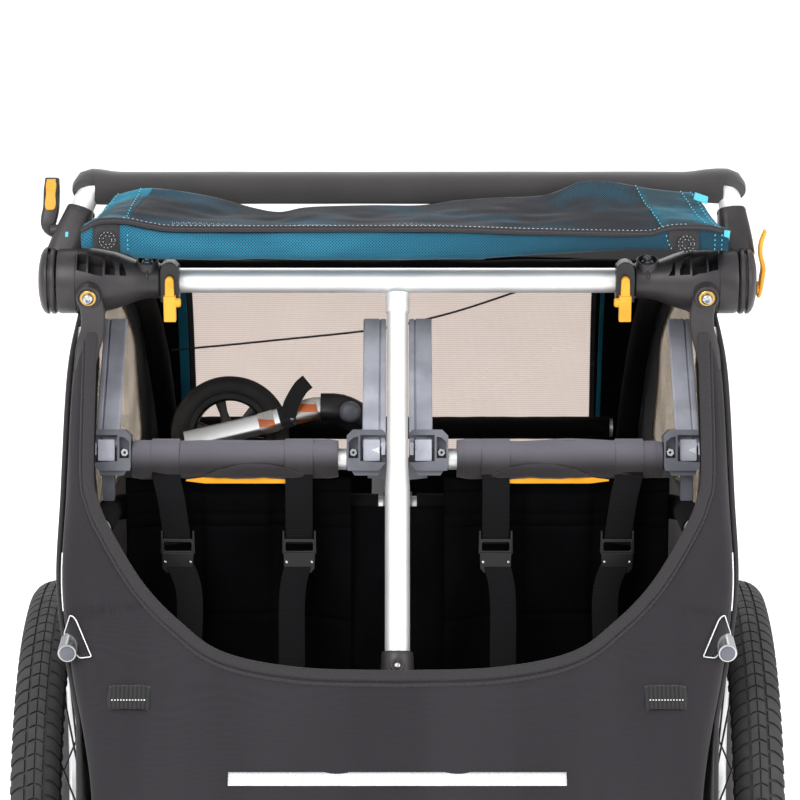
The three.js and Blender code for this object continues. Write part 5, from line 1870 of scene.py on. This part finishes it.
def wheel(label, side):
    centre = (side * WHEEL.x, WHEEL.y, WHEEL.z)
    half = [(p.x, p.y) for p in TYRE_LINE]
    inside = [(-9, 207.5), (9, 207.5)]
    carcass = turned([(-x, r) for x, r in half[1:]][::-1] + half + inside[::-1], centre, (1, 0, 0), RUBBER,
                     160, closed=True)
    rings = [
        turned([(x - 0.5, r), (x, r + 1.1), (x + 0.5, r)], centre, (1, 0, 0), RUBBER, 120, closed=True)
        for x, r in ((24.4, 226), (24.9, 230), (-24.4, 226), (-24.9, 230))
    ]
    piece(f"tyre_and_tread_{label}", [carcass, tread(side), *rings], body=f"wheel_{label}",
          nodes=[f"tyre_{label}"])

    section = [
        (-10.4, 207.6), (-10.4, 204.6), (-9.4, 203.6), (-9.2, 199), (-6.6, 195.6), (0, 194), (6.6, 195.6),
        (9.2, 199),
        (9.4, 203.6), (10.4, 204.6), (10.4, 207.6), (8, 205), (-8, 205),
    ]
    hoop = turned(section, centre, (1, 0, 0), RIM_METAL, 160, closed=True)
    valve_up = Vector((0, 0.34, 0.94))
    valve = turned([(150, 0), (150, 2.6), (160, 2.8), (161, 3.2), (194, 3.2), (194, 0)],
                   centre, valve_up, BLACK_PLASTIC, 18)
    nipples = [
        turned([(185, 0), (185, 1.8), (194, 2.2), (194, 0)], centre, spoke_way(i), STEEL,
               8) for i in range(SPOKES)
    ]
    piece(f"rim_hoop_{label}", [hoop, valve, *nipples], body=f"wheel_{label}", nodes=[f"rim_{label}"])

    shell = turned([
        (-31, 6.4), (-31, 12), (-29.5, 13.6), (-27.4, 14), (-27, 21), (-26.2, 22), (-23.8, 22), (-23, 21),
        (-22, 14), (-16, 11.4), (10, 11.4), (16, 14), (17, 21), (17.8, 22), (20.2, 22), (21, 21), (21.6, 14),
        (23, 13.4), (24, 12), (24, 6.4),
    ], centre, (side, 0, 0), SATIN_BLACK, 48, closed=True)
    wires = []
    for i in range(SPOKES):
        lean = (1 if i % 4 < 2 else -1) * 0.75
        angle = 2 * math.pi * i / SPOKES
        flange = side * (19 if i % 2 else -25)
        start = Vector(centre) + Vector((flange, 18.5 * math.sin(angle + lean),
                                         18.5 * math.cos(angle + lean)))
        end = Vector(centre) + spoke_way(i) * 194
        wires.append(tube([start, start.lerp(end, 0.5), end], 1.15, SPOKE_BLACK, sides=8))
    piece(f"hub_{label}", [shell, *wires], body=f"wheel_{label}", nodes=[f"hub_and_spokes_{label}"])

    axle = turned([
        (329, 0), (329, 6), (389, 6), (389.4, 10.4), (390.4, 11), (393, 11), (394.4, 10), (394.6, 6.6),
        (395.4, 6),
        (396, 4.6), (396, 0),
    ], (0, WHEEL.y, WHEEL.z), (side, 0, 0), STEEL, 40)
    piece(f"axle_pin_{label}", [axle], nodes=[f"axle_{label}"], bevel=0.3)
    receiver = turned([
        (283.5, 0), (283.5, 18), (284.5, 19), (290, 19), (291, 18), (305, 18), (306, 19), (315, 19),
        (318, 18.4),
        (326, 15), (328.5, 13.4), (328.5, 0),
    ], (0, WHEEL.y, WHEEL.z), (side, 0, 0), BLACK_PLASTIC, 48)
    ribs = [
        turned([(0, 0), (0, 2), (13, 2), (13, 0)],
               (side * 292, WHEEL.y + 18 * math.cos(a), WHEEL.z + 18 * math.sin(a)), (side, 0, 0),
               BLACK_PLASTIC, 10)
        for a in [2 * math.pi * i / 12 for i in range(12)]
    ]
    piece(f"wheel_socket_{label}", [receiver, *ribs], nodes=[f"wheel_receiver_{label}"])


def spoke_way(index):
    angle = 2 * math.pi * index / SPOKES
    return Vector((0, math.sin(angle), math.cos(angle)))


# ---------------------------------------------------------------- stowed stroller wheel and tow arm

STOWED_AT = Vector((-186, 238, 607))
STOWED_AXIS = Vector((0, -0.954, 0.3)).normalized()
STOWED_ARM = [(-232, 196, 613), (-150, 196, 633), (-72, 200, 652), (-24, 232, 610), (-20, 262, 470),
              (-20, 280, 146)]
STOWED_ARM_UP = Vector((0, 0.6, 0.8))


def stowed_wheel():
    tyre = turned([
        (-12, 46), (-15.4, 49), (-17, 54), (-16.4, 58.6), (-13, 62.4), (-7, 64.7), (0, 65), (7, 64.7),
        (13, 62.4),
        (16.4, 58.6), (17, 54), (15.4, 49), (12, 46),
    ], STOWED_AT, STOWED_AXIS, RUBBER, 90, closed=True)
    grooves = [
        turned([(at - 0.6, 62.6), (at, 65.6), (at + 0.6, 62.6)], STOWED_AT, STOWED_AXIS, RUBBER, 90,
               closed=True)
        for at in (-9, -4.5, 0, 4.5, 9)
    ]
    rim = turned([
        (-13, 40), (-13.6, 46), (-12, 47.4), (12, 47.4), (13.6, 46), (13, 40), (8, 38), (-8, 38),
    ], STOWED_AT, STOWED_AXIS, SATIN_BLACK, 72, closed=True)
    hub = turned([(-15, 0), (-15, 11), (-12, 14), (12, 14), (15, 12), (19.4, 8), (20, 0)], STOWED_AT,
                 STOWED_AXIS,
                 SATIN_BLACK, 40)
    across = STOWED_AXIS.orthogonal().normalized()
    upward = STOWED_AXIS.cross(across)
    arms = []
    for i in range(6):
        angle = 2 * math.pi * i / 6
        way = across * math.cos(angle) + upward * math.sin(angle)
        arms.append(sweep([STOWED_AT + way * 10, STOWED_AT + way * 26, STOWED_AT + way * 42],
                          rounded_box(12, 9, 2.5),
                          SATIN_BLACK, scale=[1, 0.75, 1.05], up=STOWED_AXIS))
    piece("stroller_wheel", [tyre, *grooves, rim, hub, *arms], body="stowed_wheel", nodes=["stowed_wheel"],
          bevel=0.5)


def stowed_arm():
    line = spline(STOWED_ARM, 120)
    arm = sweep(line, rounded_box(19, 19, 2.5), ALUMINIUM, up=STOWED_ARM_UP)
    piece("stroller_arm", [arm], nodes=["stowed_wheel_arm"])

    def stretch(low, high):
        return [p for p in line if low <= p.x <= high and p.z > 610]

    bands = [
        sweep(evenly(stretch(low, high), 10), rounded_box(20.2, 20.2, 2.6), finish, up=STOWED_ARM_UP)
        for low, high, finish in ((-156, -129, BANDED_TAPE), (-112, -86, BANDED_TAPE), (-129, -112, WEBBING))
    ]
    tail = sweep(spline([(-120, 186, 640), (-116, 182, 660), (-106, 184, 678), (-98, 190, 684)], 16),
                 rounded_box(17, 1.8, 0.8), WEBBING, up=(0, -1, 0.3))
    piece("stroller_arm_bands", [*bands, tail], bevel=0.3)
    bracket = sweep(spline([(-84, 196, 652), (-62, 197, 650), (-38, 212, 630), (-28, 226, 606)], 14),
                    rounded_box(30, 28, 7), BLACK_PLASTIC, up=(0, 0.6, 0.8))
    face = plane((-52, 182, 652), (1, 0, 0), (0, 0.3, 0.954))
    knob = turned([(0, 0), (0, 12), (5, 11.4), (8, 9.6), (9.4, 6), (9.6, 0)], face(0, 0), facing(face),
                  GREY_PLASTIC, 32)
    piece("stroller_arm_bracket", [bracket, knob], bevel=0.8)


def brick(sizes, centre, corner, finish):
    """A block with round upright edges."""
    width, depth, height = sizes
    place = plane(Vector(centre) - Vector((0, 0, height / 2)), (1, 0, 0), (0, 1, 0))
    return plate(rounded_box(width, depth, corner), 0, height, place, finish)


def tow_arm():
    eye = Vector((-330, -372, 112))
    bracket = [
        brick((27, 54, 40), (-316.5, -367, 240), 5, BLACK_PLASTIC),
        brick((40, 9, 170), (-324, -349, 175), 3, BLACK_PLASTIC),
        brick((36, 44, 7), (-328, -367, 93), 6, BLACK_PLASTIC),
        turned([(-17.4, 0), (-17.4, 5.8), (18, 5.8), (18, 9.6), (21, 9.6), (22, 8), (22, 0)], eye,
               (0, 0, 1), STEEL, 28),
    ]
    bolts = [
        shape for z in (226, 254)
        for shape in flange_nut(plane((-316, -394.2, z), (1, 0, 0), (0, 0, 1)), 7)
    ]
    piece("tow_bracket_plates", [*bracket, *bolts], nodes=["tow_bracket"], bevel=0.9)
    collar = turned([(-15, 6.6), (-15, 14), (-14, 15), (14, 15), (15, 14), (15, 6.6)], eye, (0, 0, 1),
                    SATIN_BLACK, 40,
                    closed=True)
    path = [eye + Vector((14 + 506 * i / 12, 0, 0)) for i in range(13)]
    arm = tube(path, 13, ALUMINIUM, sides=36)
    grip = turned([(20, 13.2), (20, 15), (22, 15.6), (58, 15.6), (60, 15), (60, 13.2)], eye, (1, 0, 0),
                  SATIN_BLACK, 40,
                  closed=True)
    piece("tow_arm_tube", [arm, collar, grip], body="tow_arm", nodes=["tow_arm"],
          bevel=0.3)
    start = eye + Vector((520.4, 0, 0))
    stub = turned([(0, 0), (0, 12), (3, 12), (6, 10.4), (34, 10.4), (38, 12), (42, 12), (42, 0)], start,
                  (1, 0, 0), STEEL, 32)
    jaw = brick((40, 25, 23), start + Vector((62, 0, 0)), 7, STEEL)
    pin = turned([(-14, 0), (-14, 4), (13, 4), (13, 6.4), (15, 6.4), (15, 0)], start + Vector((66, 0, 0)),
                 (0, 0, 1), BRASS, 24)
    piece("tow_hitch_jaw", [stub, jaw, pin], body="tow_arm", nodes=["tow_hitch"], bevel=0.8)


# ---------------------------------------------------------------- camera, light and floor

def stage():
    bpy.ops.mesh.primitive_plane_add(size=60)
    floor = bpy.context.object
    floor.name = "floor"
    finish = Finish("floor_paint", 0.9, Emission_Color=(1, 1, 1, 1), Emission_Strength=0.3)
    finish.paint(finish.grain(900, 3), "f4f3f1", "fbfaf9")
    floor.data.materials.append(finish.material)

    world = bpy.data.worlds.new("studio")
    bpy.context.scene.world = world
    world.use_nodes = True
    world.node_tree.nodes["Background"].inputs["Color"].default_value = (1, 1, 1, 1)
    world.node_tree.nodes["Background"].inputs["Strength"].default_value = 0.85

    for name, place, target, side, power in (
        ("key", (-1.6, -2.6, 3.2), (0, 0, 0.6), 2.2, 85),
        ("fill", (2.6, -2.2, 1.8), (0, 0, 0.5), 2.0, 40),
        ("back", (0, 2.4, 2.6), (0, 0, 0.6), 2.4, 45),
    ):
        light = bpy.data.lights.new(name, "AREA")
        light.size = side
        light.energy = power
        lamp = bpy.data.objects.new(name, light)
        lamp.location = place
        lamp.rotation_euler = (Vector(target) - Vector(place)).to_track_quat("-Z", "Y").to_euler()
        bpy.context.scene.collection.objects.link(lamp)

    view = bpy.data.cameras.new("camera")
    view.lens = 143.8
    view.clip_end = 100
    camera = bpy.data.objects.new("camera", view)
    camera.location = (0.0026, -3.132, 1.72)
    camera.rotation_euler = (math.radians(90 - 17.65), 0, 0)
    bpy.context.scene.collection.objects.link(camera)
    bpy.context.scene.camera = camera
    bpy.context.scene.view_settings.view_transform = "Standard"


stage()
cage()
base_loop()
cross_tubes()
centre_post()
post_foot()
for label, side in SIDES.items():
    elbow(label, side)
    latch(label, side)
    knuckle(label, side)
handlebar()
brake_lever()
adjusting_lever()
apron()
opening_trim()
reflective_bar()
for label, side in SIDES.items():
    webbing_loop(label, side)
    rail_plug(label, side)
    side_cloth(label, side)
    seat_bar(label)
    seat_sleeve(label, side)
    seat_sling(label, side)
    harness(label, side)
    for where in CLAMP_X:
        clamp(label, side, where)
    wheel(label, side)
seat_rails()
cabin_hems()
stowed_wheel()
stowed_arm()
tow_arm()
bench()
rolled_cover()
cover_seams()
cover_tabs()
rear_cloth()
roof_cloth()
floor_cloth()
